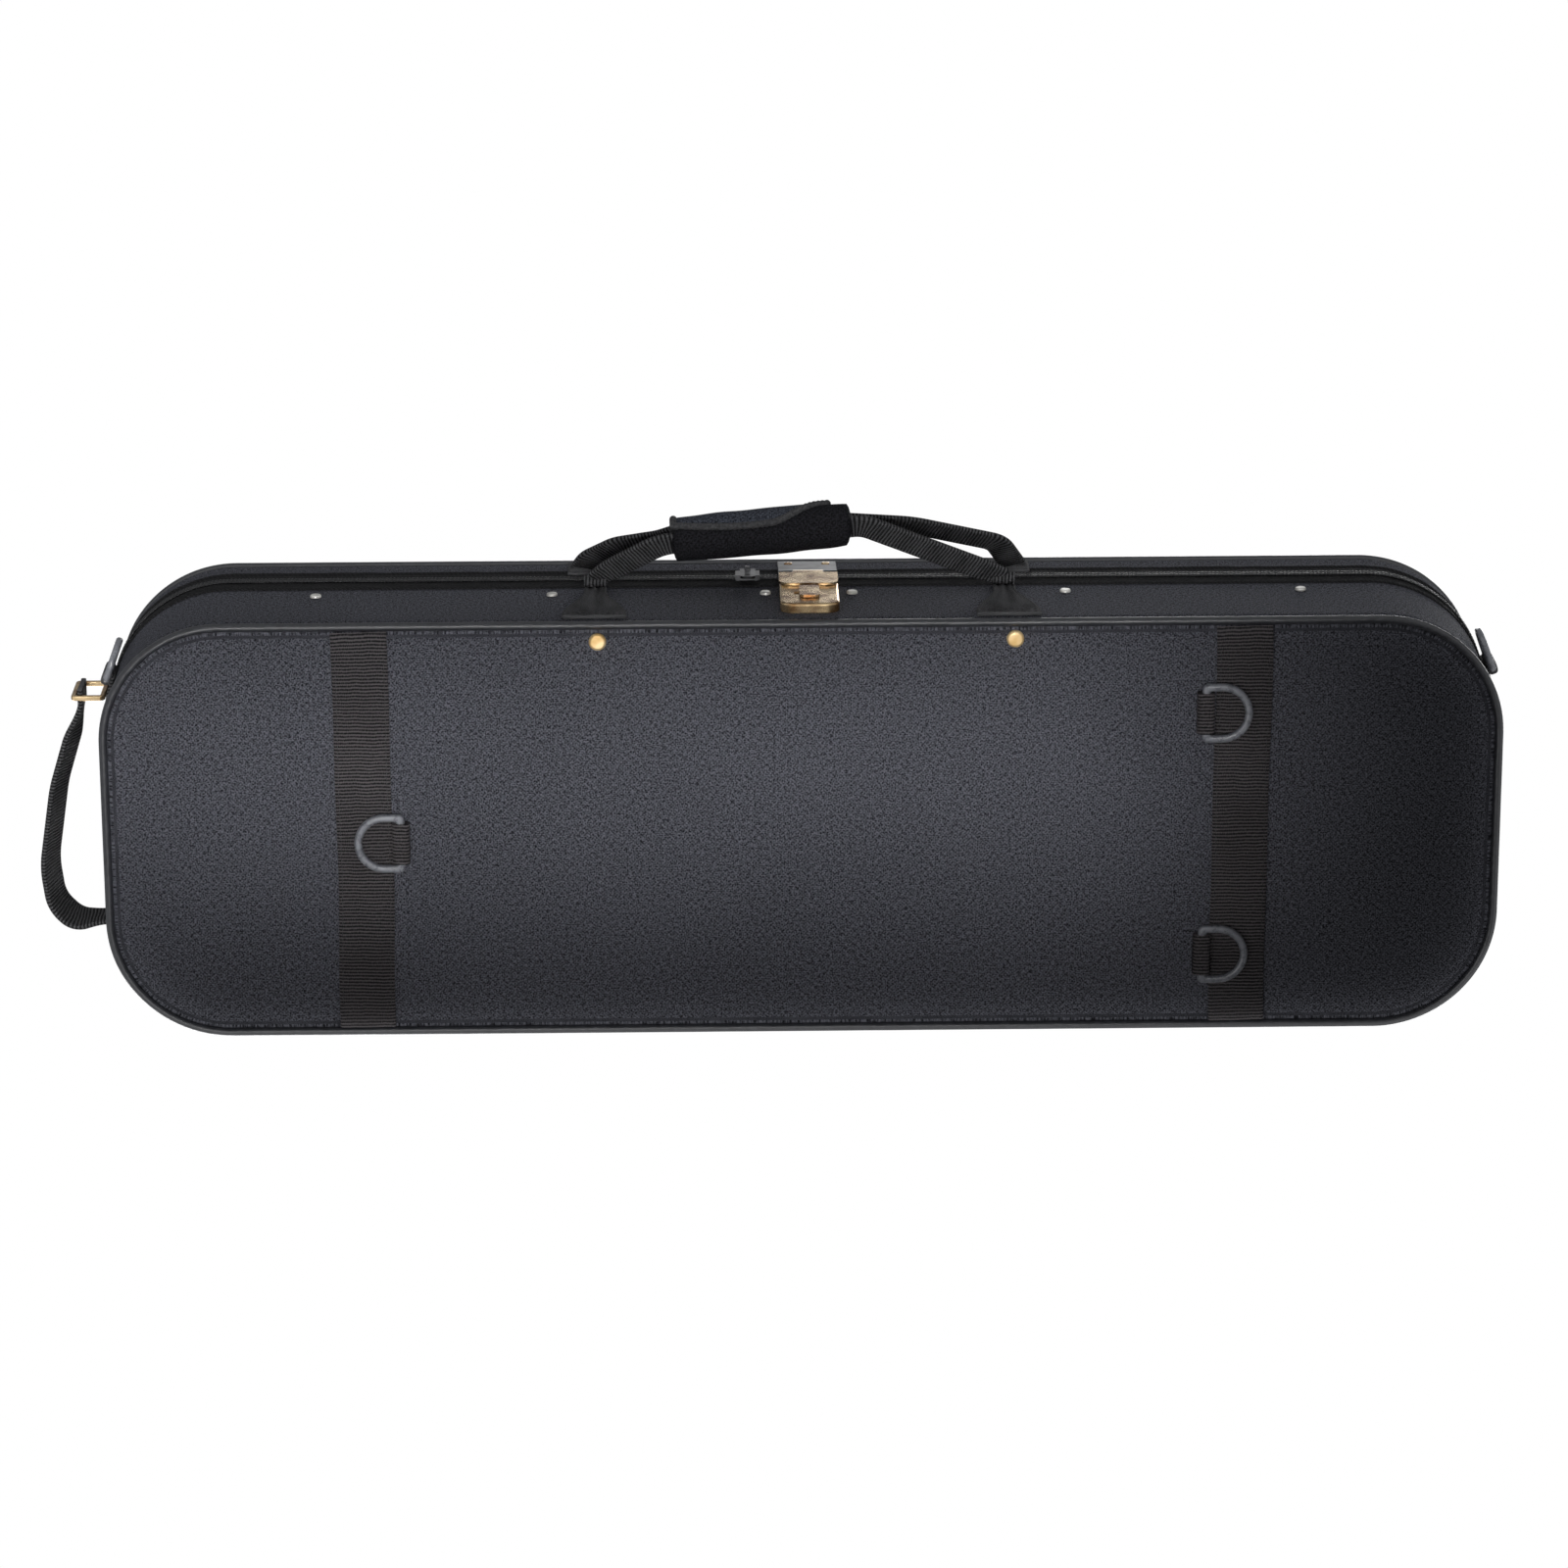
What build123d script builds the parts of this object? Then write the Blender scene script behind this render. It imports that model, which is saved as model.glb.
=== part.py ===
from build123d import *
from math import asin, cos, degrees, radians, sin, sqrt, tan
import os

# Oblong hard case for a violin, lying on its underside with the lid up. The origin is the middle
# of the underside. +X runs toward the right end, +Z up to the lid, and the carrying handle, the
# zipper and the latch are on the front wall, which faces -Y. The lid turns at the spine, +Y.

# The case
case_length = 800
case_width = 246
base_depth = 93
lid_depth = 43
corner_radius = 70
edge_radius = 10
seam_gap = 0.5

# Layers of the walls, from the outside in
cover_thickness = 1.2
base_shell_thickness = 5
lid_shell_thickness = 4
lining_thickness = 1.5
lip_thickness = 2
lip_reach = 8
lip_depth = 15

# Fits: pieces that are glued or sewn, pieces that pass each other, pins in bores
layer_gap = 0.05
moving_gap = 0.3
pin_clearance = 0.05

# Piping bead along the rounded edges
piping_radius = 2.5
piping_seat = 0.8

# Zipper
tape_reach = 18
coil_out = 1.8
coil_height = 3.2
zip_end = 40
slider_x = -30
slider_length = 14
slider_wall = 1.6
pull_length = 18
pull_width = 9
pull_thickness = 1.6
pull_pin_radius = 0.9

# Webbing on the underside and its D-rings
band_x = 251
band_width = 32
band_thickness = 2
rest_height = 8
left_ring_y = 5.5
front_ring_y = -68.5
rear_ring_y = 76.5
pack_ring_width = 35
pack_ring_reach = 29
pack_ring_wire = 4.5
pack_tab_width = 24
pack_tab_length = 10.4

# Rivets
dome_places = (-116, 121)
dome_radius = 5
dome_height = 2.6
dome_inset = 10.8
wall_rivet_radius = 3.2
wall_rivet_height = 1.6
wall_rivet_drop = 33
wall_rivet_places = (-284, -148, -25, 25, 148, 284)

# Handles
handle_tab_x = 118
handle_tab_foot = 37
handle_tab_neck = 13
handle_tab_low = 8
handle_hem = 8
webbing_thickness = 2.5
strap_thickness = 3.5
strap_width = 16
strap_root_radius = 3.5
front_pivot_drop = 25
grip_out = 39.7
grip_drop = 45
wrap_left = -74
wrap_right = 30
wrap_radius = 13.5
wrap_slope = 7
strap_under = 2
rear_handle_x = 125
rear_pivot_rise = 12
rear_grip_out = 40
rear_grip_drop = 21
rear_strap_width = 16
rear_strap_thickness = 3
rear_tab_rise = 31
rear_tab_width = 20

# End strips, end handle and shoulder rings
strip_drop = 33
strip_width = 26
strip_front_y = -79
left_strip_rear_y = 73
right_strip_rear_y = -10
end_strap_width = 25
end_strap_thickness = 3
end_strap_foot_y = 69
end_strap_out = 13.6
end_strap_bow = 36.5
end_loop_wire = 3
end_loop_y = -68
end_rivet_y = 28
end_rivet_radius = 5
shoulder_angle = 20
shoulder_ring_width = 30
shoulder_ring_reach = 24
shoulder_ring_wire = 4
shoulder_tab_width = 20
shoulder_tab_length = 9
shoulder_tab_sunk = 0.5

# Piano hinge
hinge_length = 640
hinge_knuckles = 10
hinge_out = 3
knuckle_radius = 2.5
hinge_pin_radius = 1
leaf_thickness = 0.8
leaf_reach = 16
screw_radius = 2.4
screw_height = 0.8
screw_count = 6

# Latch
latch_x = 5
latch_half = 17
lock_height = 60
lock_drop = 15
lock_out = 5.7
lock_wall = 1.2
lock_corner = 7
back_plate_thickness = 0.8
barrel_drop = 9
barrel_radius = 3.4
barrel_gap = 0.6
latch_pin_radius = 1.2
hasp_thickness = 1.4
hasp_overlap = 22
hasp_knuckle_half = 9
staple_half = 3
staple_drop = 7
staple_height = 9
bolt_height = 4
bolt_thickness = 1.5
thumb_width = 11.4
thumb_drop = 26
thumb_height = 22
thumb_travel = 6
lid_plate_clear = 9
lid_plate_thickness = 1.2

# Cradle and what lies in the case
cradle_drop = 7
cradle_wall = 3.1
pocket_floor = 24
instrument_clearance = 6
lower_bout_radius = 104
upper_bout_radius = 84
bout_spacing = 168
lower_bout_x = 262
waist_fillet = 30
neck_width = 62
neck_end_x = -228
neck_floor = 40
well_floor = 20
end_well_right = -258
end_well_length = 122
end_well_wall = 13.1
accessory_left = -226
accessory_length = 196
accessory_wall = 4.1
accessory_neck_wall = 10
accessory_lid_thickness = 3.5
accessory_lid_margin = 3
accessory_rod_radius = 0.8
neck_strap_x = -136
neck_strap_width = 26
neck_strap_overlap = 6
neck_strap_sewn = 29
neck_strap_thickness = 1.6
neck_rest_x = -88
neck_rest_length = 30
neck_rest_height = 24
cushion_height = 10

# Bow holders in the lid
bow_y = 48
bow_button_x = 240
bow_sleeve_x = -320
bow_button_length = 34
bow_button_width = 11
bow_button_thickness = 4
bow_post_drop = 8
bow_post_radius = 4
bow_neck_radius = 2.5
bow_head_radius = 5
bow_head_height = 1.8
sleeve_length = 60
sleeve_width = 26
sleeve_height = 12
sleeve_wall = 1.5

# Worked out from the sizes above
front = -case_width / 2
rear = case_width / 2
seam = base_depth
case_depth = base_depth + lid_depth
base_open = base_depth - seam_gap / 2
lid_open = lid_depth - seam_gap / 2
base_shell_inset = cover_thickness + layer_gap
base_lining_inset = base_shell_inset + base_shell_thickness + layer_gap
lid_shell_inset = cover_thickness + layer_gap
lid_lining_inset = lid_shell_inset + lid_shell_thickness + layer_gap
lip_inset = base_lining_inset + lining_thickness + layer_gap
cradle_inset = lip_inset + lip_thickness + layer_gap
ceiling = case_depth - lid_lining_inset - lining_thickness
wall_rivet_z = seam - wall_rivet_drop
front_pivot_z = seam - front_pivot_drop
handle_tab_high = front_pivot_z + 2
grip_z = seam - grip_drop
rear_pivot_z = seam + rear_pivot_rise
rear_tab_high = seam + rear_tab_rise
rear_grip_z = seam - rear_grip_drop
strip_z = seam - strip_drop
lock_high = seam - lock_drop
lock_low = lock_high - lock_height
barrel_z = seam - barrel_drop
hasp_low = lock_high - hasp_overlap
staple_high = lock_high - staple_drop
staple_low = staple_high - staple_height
thumb_high = lock_high - thumb_drop
thumb_low = thumb_high - thumb_height
lid_plate_high = case_depth - lid_plate_clear
cradle_top = seam - cradle_drop
cradle_half_width = case_width / 2 - cradle_inset
end_well_width = 2 * (cradle_half_width - end_well_wall)
accessory_width = cradle_half_width - accessory_wall - neck_width / 2 - accessory_neck_wall
accessory_y = -(neck_width / 2 + accessory_neck_wall + accessory_width / 2)

underside = Plane.XY
lid_top = Plane(origin=(0, 0, case_depth), x_dir=(1, 0, 0), z_dir=(0, 0, -1))
downward = Plane(origin=(0, 0, 0), x_dir=(1, 0, 0), z_dir=(0, 0, -1))
front_wall = Plane(origin=(0, front, 0), x_dir=(1, 0, 0), z_dir=(0, -1, 0))
rear_wall = Plane(origin=(0, rear, 0), x_dir=(-1, 0, 0), z_dir=(0, 1, 0))
latch_wall = Plane(origin=(latch_x, front, 0), x_dir=(1, 0, 0), z_dir=(0, -1, 0))
latch_middle = Plane.YZ.offset(latch_x)

os.makedirs("parts", exist_ok=True)


def keep(piece, name):
    """Label a finished piece and write it."""
    piece.part.label = name
    export_step(piece.part, f"parts/{name}.step")


def plan(inset, mode=Mode.ADD):
    """The case seen from above, its outline moved in by inset."""
    return RectangleRounded(
        case_length - 2 * inset, case_width - 2 * inset, corner_radius - inset, mode=mode
    )


def tray(outside, inset, wall, depth):
    """An open tray with rounded edges, its faces moved in by inset from the case's own."""
    inward = Axis(outside.origin, outside.z_dir)
    with BuildPart() as body:
        with BuildSketch(outside.offset(inset)):
            plan(inset)
        extrude(amount=depth - inset)
        fillet(body.faces().sort_by(inward)[0].edges(), edge_radius - inset)
        offset(amount=-wall, openings=body.faces().sort_by(inward)[-1])
    return body.part


def bead(outside, radius):
    """The piping cord: a ring that lies along the middle of the rounded edge."""
    toward_edge = edge_radius * (1 - cos(radians(45)))
    inset = toward_edge - (piping_radius - piping_seat) * cos(radians(45))
    half_x = case_length / 2 - inset
    half_y = case_width / 2 - inset
    with BuildPart() as cord:
        with BuildLine(outside.offset(inset)) as route:
            FilletPolyline(
                (half_x, -half_y), (half_x, half_y), (-half_x, half_y), (-half_x, -half_y),
                radius=corner_radius - inset,
                close=True,
            )
        with BuildSketch(Plane(origin=route.line @ 0, z_dir=route.line % 0)):
            Circle(radius)
        sweep()
    return cord.part


def zip_band(outer_inset, inner_inset, low, high):
    """A band round the front and both ends, between two insets and two heights."""
    with BuildPart() as band:
        with BuildSketch(Plane.XY.offset(low)):
            plan(outer_inset)
            plan(inner_inset, mode=Mode.SUBTRACT)
            with Locations((0, zip_end)):
                Rectangle(
                    2 * case_length, case_width, align=(Align.CENTER, Align.MIN), mode=Mode.SUBTRACT
                )
        extrude(amount=high - low)
    return band.part


def heads(seat, places, radius, height):
    """Low round heads, one at each place on the seat, with rounded rims."""
    with BuildPart() as group:
        with BuildSketch(seat.offset(layer_gap)):
            with Locations(*places):
                Circle(radius)
        extrude(amount=height)
        outward = Axis(seat.origin, seat.z_dir)
        fillet(group.edges().group_by(outward)[-1], height * 0.7)
    return group.part


def d_outline(bar_x, bow_x, half, corner, mode=Mode.ADD):
    """A D in the open sketch: rounded corners at the bar, a half circle about bow_x."""
    with BuildLine() as outline:
        FilletPolyline((bow_x, half), (bar_x, half), (bar_x, -half), (bow_x, -half), radius=corner)
        ThreePointArc((bow_x, -half), (bow_x + half, 0), (bow_x, half))
    make_face(outline.edges(), mode=mode)


def d_ring(seat, axis_out, width, reach, wire):
    """A flat D-ring: straight bar along the seat's y through its origin, bow toward its x."""
    bow_x = reach - wire / 2 - width / 2
    outward = Axis(seat.origin, seat.z_dir)
    with BuildPart() as ring:
        with BuildSketch(seat.offset(axis_out - wire / 2)):
            d_outline(-wire / 2, bow_x, width / 2, wire * 0.8)
            d_outline(wire / 2, bow_x, width / 2 - wire, wire * 0.4, mode=Mode.SUBTRACT)
        extrude(amount=wire)
        rims = ring.edges().group_by(outward)
        fillet(rims[0] + rims[-1], wire * 0.42)
    return ring.part


def ring_tab(seat, axis_out, length, width, height, wire):
    """A sewn webbing loop with a tunnel for a ring's bar, which lies at axis_out from the seat."""
    outward = Axis(seat.origin, seat.z_dir)
    with BuildPart() as tab:
        with BuildSketch(seat.offset(layer_gap)):
            Rectangle(length, width)
        extrude(amount=height - layer_gap)
        fillet(tab.edges().group_by(outward)[-1].filter_by(Axis(seat.origin, seat.y_dir)), 1.5)
        with BuildSketch(Plane(origin=seat.origin, x_dir=seat.x_dir, z_dir=-seat.y_dir)):
            with Locations((0, axis_out)):
                Circle(wire / 2 + 0.4)
        extrude(amount=width, both=True, mode=Mode.SUBTRACT)
    return tab.part


# Base shell: the plywood tray that everything is fixed to
with BuildPart() as base_shell:
    add(tray(underside, base_shell_inset, base_shell_thickness, base_open))
keep(base_shell, "base_shell")

# Base cover: woven cloth over the shell, cut back where the zipper tape is sewn in
base_tape_low = seam - tape_reach
with BuildPart() as base_cover:
    add(tray(underside, 0, cover_thickness, base_open))
    with BuildSketch(Plane.XY.offset(base_tape_low - layer_gap)):
        with Locations((0, zip_end + layer_gap)):
            Rectangle(2 * case_length, 2 * case_width, align=(Align.CENTER, Align.MAX))
    extrude(amount=case_depth, mode=Mode.SUBTRACT)
    add(bead(underside, piping_radius + layer_gap), mode=Mode.SUBTRACT)
keep(base_cover, "base_cover")

# Base piping: the cord sewn along the underside's edge
with BuildPart() as base_piping:
    add(bead(underside, piping_radius))
keep(base_piping, "base_piping")

# Base lining: plush inside the shell
with BuildPart() as base_lining:
    add(tray(underside, base_lining_inset, lining_thickness, base_open))
keep(base_lining, "base_lining")

# Rim lip: stands up inside the base's rim and keeps the lid in line
with BuildPart() as rim_lip:
    with BuildSketch(Plane.XY.offset(seam - lip_depth)):
        plan(lip_inset)
        plan(lip_inset + lip_thickness, mode=Mode.SUBTRACT)
    extrude(amount=lip_depth + lip_reach)
    fillet(rim_lip.faces().sort_by(Axis.Z)[-1].outer_wire().edges(), lip_thickness * 0.6)
keep(rim_lip, "rim_lip")

# Instrument cradle: one foam block with the instrument's pocket, the neck slot and two wells
cradle_low = base_lining_inset + lining_thickness + layer_gap
pocket_lower = lower_bout_radius + instrument_clearance
pocket_upper = upper_bout_radius + instrument_clearance
upper_bout_x = lower_bout_x - bout_spacing
with BuildPart() as violin_pocket:
    with BuildSketch(Plane.XY.offset(pocket_floor)):
        with Locations((lower_bout_x, 0)):
            Circle(pocket_lower)
        with Locations((upper_bout_x, 0)):
            Circle(pocket_upper)
    extrude(amount=cradle_top)
    waist = violin_pocket.edges().filter_by(Axis.Z).filter_by_position(Axis.X, upper_bout_x, lower_bout_x)
    fillet(waist, waist_fillet)
    with BuildSketch(Plane.XY.offset(pocket_floor)):
        plan(cradle_inset + cradle_wall)
    extrude(amount=cradle_top, mode=Mode.INTERSECT)
with BuildPart() as instrument_cradle:
    with BuildSketch(Plane.XY.offset(cradle_low)):
        plan(cradle_inset)
    extrude(amount=cradle_top - cradle_low)
    fillet(instrument_cradle.faces().sort_by(Axis.Z)[0].edges(), edge_radius / 2)
    add(violin_pocket.part, mode=Mode.SUBTRACT)
    with BuildSketch(Plane.XY.offset(neck_floor)):
        with Locations((neck_end_x + neck_width / 2, 0)):
            Circle(neck_width / 2)
            Rectangle(
                upper_bout_x - neck_end_x - neck_width / 2, neck_width, align=(Align.MIN, Align.CENTER)
            )
    extrude(amount=cradle_top, mode=Mode.SUBTRACT)
    with BuildSketch(Plane.XY.offset(well_floor)):
        with Locations((end_well_right - end_well_length / 2, 0)):
            RectangleRounded(end_well_length, end_well_width, corner_radius / 2)
        with Locations((accessory_left + accessory_length / 2, accessory_y)):
            RectangleRounded(accessory_length, accessory_width, 6)
    extrude(amount=cradle_top, mode=Mode.SUBTRACT)
keep(instrument_cradle, "instrument_cradle")

# Pocket cushions: two soft pads that carry the instrument's back
with BuildPart() as pocket_cushions:
    with BuildSketch(Plane.XY.offset(pocket_floor + layer_gap)):
        with Locations((lower_bout_x + pocket_lower * 0.55, 0)):
            RectangleRounded(pocket_lower * 0.42, pocket_lower * 0.87, cushion_height)
        with Locations((upper_bout_x - pocket_upper * 0.45, 0)):
            RectangleRounded(pocket_upper * 0.4, pocket_upper * 0.93, cushion_height)
    extrude(amount=cushion_height)
    fillet(pocket_cushions.edges().group_by(Axis.Z)[-1], cushion_height * 0.4)
keep(pocket_cushions, "pocket_cushions")

# Neck rest: a padded block with a round saddle across the slot
with BuildPart() as neck_rest:
    with BuildSketch(Plane.YZ.offset(neck_rest_x)):
        with Locations((0, neck_floor + layer_gap)):
            Rectangle(neck_width - 1, neck_rest_height, align=(Align.CENTER, Align.MIN))
        with Locations((0, neck_floor + neck_rest_height * 1.33)):
            Circle(neck_width * 0.32, mode=Mode.SUBTRACT)
    extrude(amount=neck_rest_length / 2, both=True)
keep(neck_rest, "neck_rest")

# Neck strap: spans the slot to hold the instrument's neck down, sewn to the cradle at the rear
with BuildPart() as neck_strap:
    with BuildSketch(Plane.XY.offset(cradle_top + layer_gap)):
        with Locations((neck_strap_x, (neck_strap_sewn - neck_strap_overlap) / 2)):
            RectangleRounded(
                neck_strap_width, neck_width + neck_strap_sewn + neck_strap_overlap, 3
            )
    extrude(amount=neck_strap_thickness)
keep(neck_strap, "neck_strap")

# Accessory lid: a lined board over the well beside the neck, its front edge rolled round a rod
board_low = cradle_top + moving_gap
board_radius = accessory_lid_thickness / 2
board_front = accessory_y - accessory_width / 2 - accessory_lid_margin + board_radius
board_rear = accessory_y + accessory_width / 2 + accessory_lid_margin - 1
board_length = accessory_length + 2 * accessory_lid_margin
board_middle = accessory_left + accessory_length / 2
board_axis_z = board_low + board_radius
with BuildPart() as accessory_lid:
    with BuildSketch(Plane.YZ.offset(board_middle)):
        with Locations((board_front, board_axis_z)):
            Circle(board_radius)
            Rectangle(board_rear - board_front, accessory_lid_thickness, align=(Align.MIN, Align.CENTER))
            Circle(accessory_rod_radius + pin_clearance, mode=Mode.SUBTRACT)
    extrude(amount=board_length / 2, both=True)
    fillet(accessory_lid.edges().filter_by(Axis.Z).group_by(Axis.Y)[-1], 5)
keep(accessory_lid, "accessory_lid")

# Accessory rod: the hinge wire with its two seats on the cradle
rod_seat = 4
with BuildPart() as accessory_rod:
    with BuildSketch(Plane.YZ.offset(board_middle)):
        with Locations((board_front, board_axis_z)):
            Circle(accessory_rod_radius)
    extrude(amount=board_length / 2 + moving_gap + rod_seat / 2, both=True)
    for side in (-1, 1):
        seat_middle = board_middle + side * (board_length / 2 + moving_gap + rod_seat / 2)
        with BuildSketch(Plane.YZ.offset(seat_middle)):
            with Locations((board_front, cradle_top + layer_gap)):
                Rectangle(
                    rod_seat * 0.8, board_axis_z - cradle_top + 1.4, align=(Align.CENTER, Align.MIN)
                )
        extrude(amount=rod_seat / 2, both=True)
keep(accessory_rod, "accessory_rod")

# Accessory pull: a ribbon tab on the board's free edge
with BuildPart() as accessory_pull:
    with BuildSketch(Plane.XY.offset(board_low + accessory_lid_thickness + layer_gap)):
        with Locations((board_middle, board_rear - 8)):
            RectangleRounded(14, 14, 3)
    extrude(amount=1.2)
keep(accessory_pull, "accessory_pull")

# Lid shell, cover, piping and lining, laid out from the lid's top downward
with BuildPart() as lid_shell:
    add(tray(lid_top, lid_shell_inset, lid_shell_thickness, lid_open))
keep(lid_shell, "lid_shell")

lid_tape_high = seam + tape_reach
with BuildPart() as lid_cover:
    add(tray(lid_top, 0, cover_thickness, lid_open))
    with BuildSketch(Plane.XY.offset(lid_tape_high + layer_gap)):
        with Locations((0, zip_end + layer_gap)):
            Rectangle(2 * case_length, 2 * case_width, align=(Align.CENTER, Align.MAX))
    extrude(amount=-case_depth, mode=Mode.SUBTRACT)
    add(bead(lid_top, piping_radius + layer_gap), mode=Mode.SUBTRACT)
keep(lid_cover, "lid_cover")

with BuildPart() as lid_piping:
    add(bead(lid_top, piping_radius))
keep(lid_piping, "lid_piping")

with BuildPart() as lid_lining:
    add(tray(lid_top, lid_lining_inset, lining_thickness, lid_open))
keep(lid_lining, "lid_lining")

# Bow tip sleeves: two cloth pockets on the lid's ceiling, open toward the buttons
with BuildPart() as bow_tip_sleeves:
    with BuildSketch(Plane.XY.offset(ceiling - layer_gap)):
        with Locations((bow_sleeve_x, -bow_y), (bow_sleeve_x, bow_y)):
            Rectangle(sleeve_length, sleeve_width)
    extrude(amount=-sleeve_height)
    fillet(bow_tip_sleeves.edges().filter_by(Axis.Z), 3)
    with BuildSketch(Plane.XY.offset(ceiling - layer_gap - sleeve_wall)):
        with Locations((bow_sleeve_x + sleeve_wall, -bow_y), (bow_sleeve_x + sleeve_wall, bow_y)):
            Rectangle(sleeve_length, sleeve_width - 2 * sleeve_wall)
    extrude(amount=2 * sleeve_wall - sleeve_height, mode=Mode.SUBTRACT)
keep(bow_tip_sleeves, "bow_tip_sleeves")

# Bow button posts: turned posts with a neck that the button turns on and a head that holds it
post_foot = ceiling - layer_gap
neck_top = post_foot - bow_post_drop
neck_bottom = neck_top - bow_button_thickness - 2 * moving_gap
with BuildPart() as bow_button_posts:
    with BuildSketch(Plane.XZ):
        with BuildLine():
            Polyline(
                (0, post_foot), (bow_post_radius, post_foot), (bow_post_radius, neck_top),
                (bow_neck_radius, neck_top), (bow_neck_radius, neck_bottom),
                (bow_head_radius, neck_bottom), (bow_head_radius, neck_bottom - bow_head_height),
                (0, neck_bottom - bow_head_height), close=True,
            )
        make_face()
    revolve(axis=Axis.Z)
bow_post = bow_button_posts.part
with BuildPart() as bow_button_posts:
    with Locations((bow_button_x, -bow_y, 0), (bow_button_x, bow_y, 0)):
        add(bow_post)
keep(bow_button_posts, "bow_button_posts")

# Bow buttons: long turn-buttons, one for each bow
for name, button_y in (("bow_button_front", -bow_y), ("bow_button_rear", bow_y)):
    with BuildPart() as bow_button:
        with BuildSketch(Plane.XY.offset(neck_top - moving_gap)):
            with Locations((bow_button_x, button_y)):
                SlotOverall(bow_button_length, bow_button_width)
                Circle(bow_neck_radius + pin_clearance, mode=Mode.SUBTRACT)
        extrude(amount=-bow_button_thickness)
        fillet(bow_button.faces().sort_by(Axis.Z)[0].outer_wire().edges(), 1.2)
    keep(bow_button, name)

# Zipper tapes and coils: they follow the rim round the front and both ends
with BuildPart() as base_zip_tape:
    add(zip_band(0, cover_thickness, base_tape_low, seam - seam_gap / 2))
keep(base_zip_tape, "base_zip_tape")

with BuildPart() as lid_zip_tape:
    add(zip_band(0, cover_thickness, seam + seam_gap / 2, lid_tape_high))
keep(lid_zip_tape, "lid_zip_tape")

with BuildPart() as base_zip_coil:
    add(zip_band(-coil_out, -layer_gap, seam - seam_gap / 2 - coil_height, seam - seam_gap / 2))
keep(base_zip_coil, "base_zip_coil")

with BuildPart() as lid_zip_coil:
    add(zip_band(-coil_out, -layer_gap, seam + seam_gap / 2, seam + seam_gap / 2 + coil_height))
keep(lid_zip_coil, "lid_zip_coil")

# Zip slider: hooks under the base's coil, with a lug in front for the pull
coil_low = seam - seam_gap / 2 - coil_height
coil_high = seam + seam_gap / 2 + coil_height
slider_back = coil_out + moving_gap
slider_face = slider_back + slider_wall
pull_axis_out = slider_face + pull_pin_radius + 1
pull_axis_z = seam - 1
lug_width = 3
with BuildPart() as zip_slider:
    with BuildSketch(Plane.YZ.offset(slider_x)) as slider_profile:
        with Locations((front - slider_face, coil_low - moving_gap - slider_wall)):
            Rectangle(
                slider_wall, coil_high - coil_low + moving_gap + slider_wall + 2, align=(Align.MIN, Align.MIN)
            )
            Rectangle(slider_face - moving_gap, slider_wall, align=(Align.MIN, Align.MIN))
        fillet(slider_profile.vertices().group_by(Axis.Y)[-1], slider_wall * 0.45)
    extrude(amount=slider_length / 2, both=True)
    with BuildSketch(Plane.YZ.offset(slider_x)):
        with Locations((front - pull_axis_out, pull_axis_z)):
            Circle(pull_pin_radius + 1.4)
            Rectangle(pull_axis_out - slider_face, 2 * pull_pin_radius + 2.8, align=(Align.MIN, Align.CENTER))
    extrude(amount=lug_width / 2, both=True)
    with BuildSketch(Plane.YZ.offset(slider_x)):
        with Locations((front - pull_axis_out, pull_axis_z)):
            Circle(pull_pin_radius + pin_clearance)
    extrude(amount=lug_width, both=True, mode=Mode.SUBTRACT)
keep(zip_slider, "zip_slider")

# Zip pull: a tongue that hangs from a pin through the slider's lug
pull_seat = Plane(origin=(slider_x, front - pull_axis_out, pull_axis_z), x_dir=(1, 0, 0), z_dir=(0, -1, 0))
with BuildPart() as zip_pull:
    with BuildSketch(pull_seat.offset(-pull_thickness / 2)):
        with Locations((0, pull_pin_radius)):
            Rectangle(pull_width, pull_length, align=(Align.CENTER, Align.MAX))
            Rectangle(
                lug_width + 2 * moving_gap,
                2 * pull_pin_radius + 2.8,
                align=(Align.CENTER, Align.MAX),
                mode=Mode.SUBTRACT,
            )
        with Locations((0, -pull_length * 0.7)):
            Circle(1.6, mode=Mode.SUBTRACT)
    extrude(amount=pull_thickness)
    fillet(zip_pull.edges().filter_by(Axis.Y).group_by(Axis.Z)[0], 3)
    with BuildSketch(Plane.YZ.offset(slider_x)):
        with Locations((front - pull_axis_out, pull_axis_z)):
            Circle(pull_pin_radius)
    extrude(amount=pull_width / 2, both=True)
keep(zip_pull, "zip_pull")

# Webbing bands: two straps sewn across the underside, bent a little round both edges
band_end_inset = 4.6
band_middle = layer_gap + band_thickness / 2
flat_end = case_width / 2 - edge_radius
band_bend = degrees(asin((edge_radius - band_end_inset) / (edge_radius + band_middle)))
with BuildPart() as webbing_bands:
    for side in (-1, 1):
        with BuildSketch(Plane.YZ.offset(side * band_x)):
            with BuildLine():
                CenterArc((-flat_end, edge_radius), edge_radius + band_middle, 270 - band_bend, band_bend)
                Line((-flat_end, -band_middle), (flat_end, -band_middle))
                CenterArc((flat_end, edge_radius), edge_radius + band_middle, 270, band_bend)
            trace(line_width=band_thickness)
        extrude(amount=band_width / 2, both=True)
keep(webbing_bands, "webbing_bands")

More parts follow.
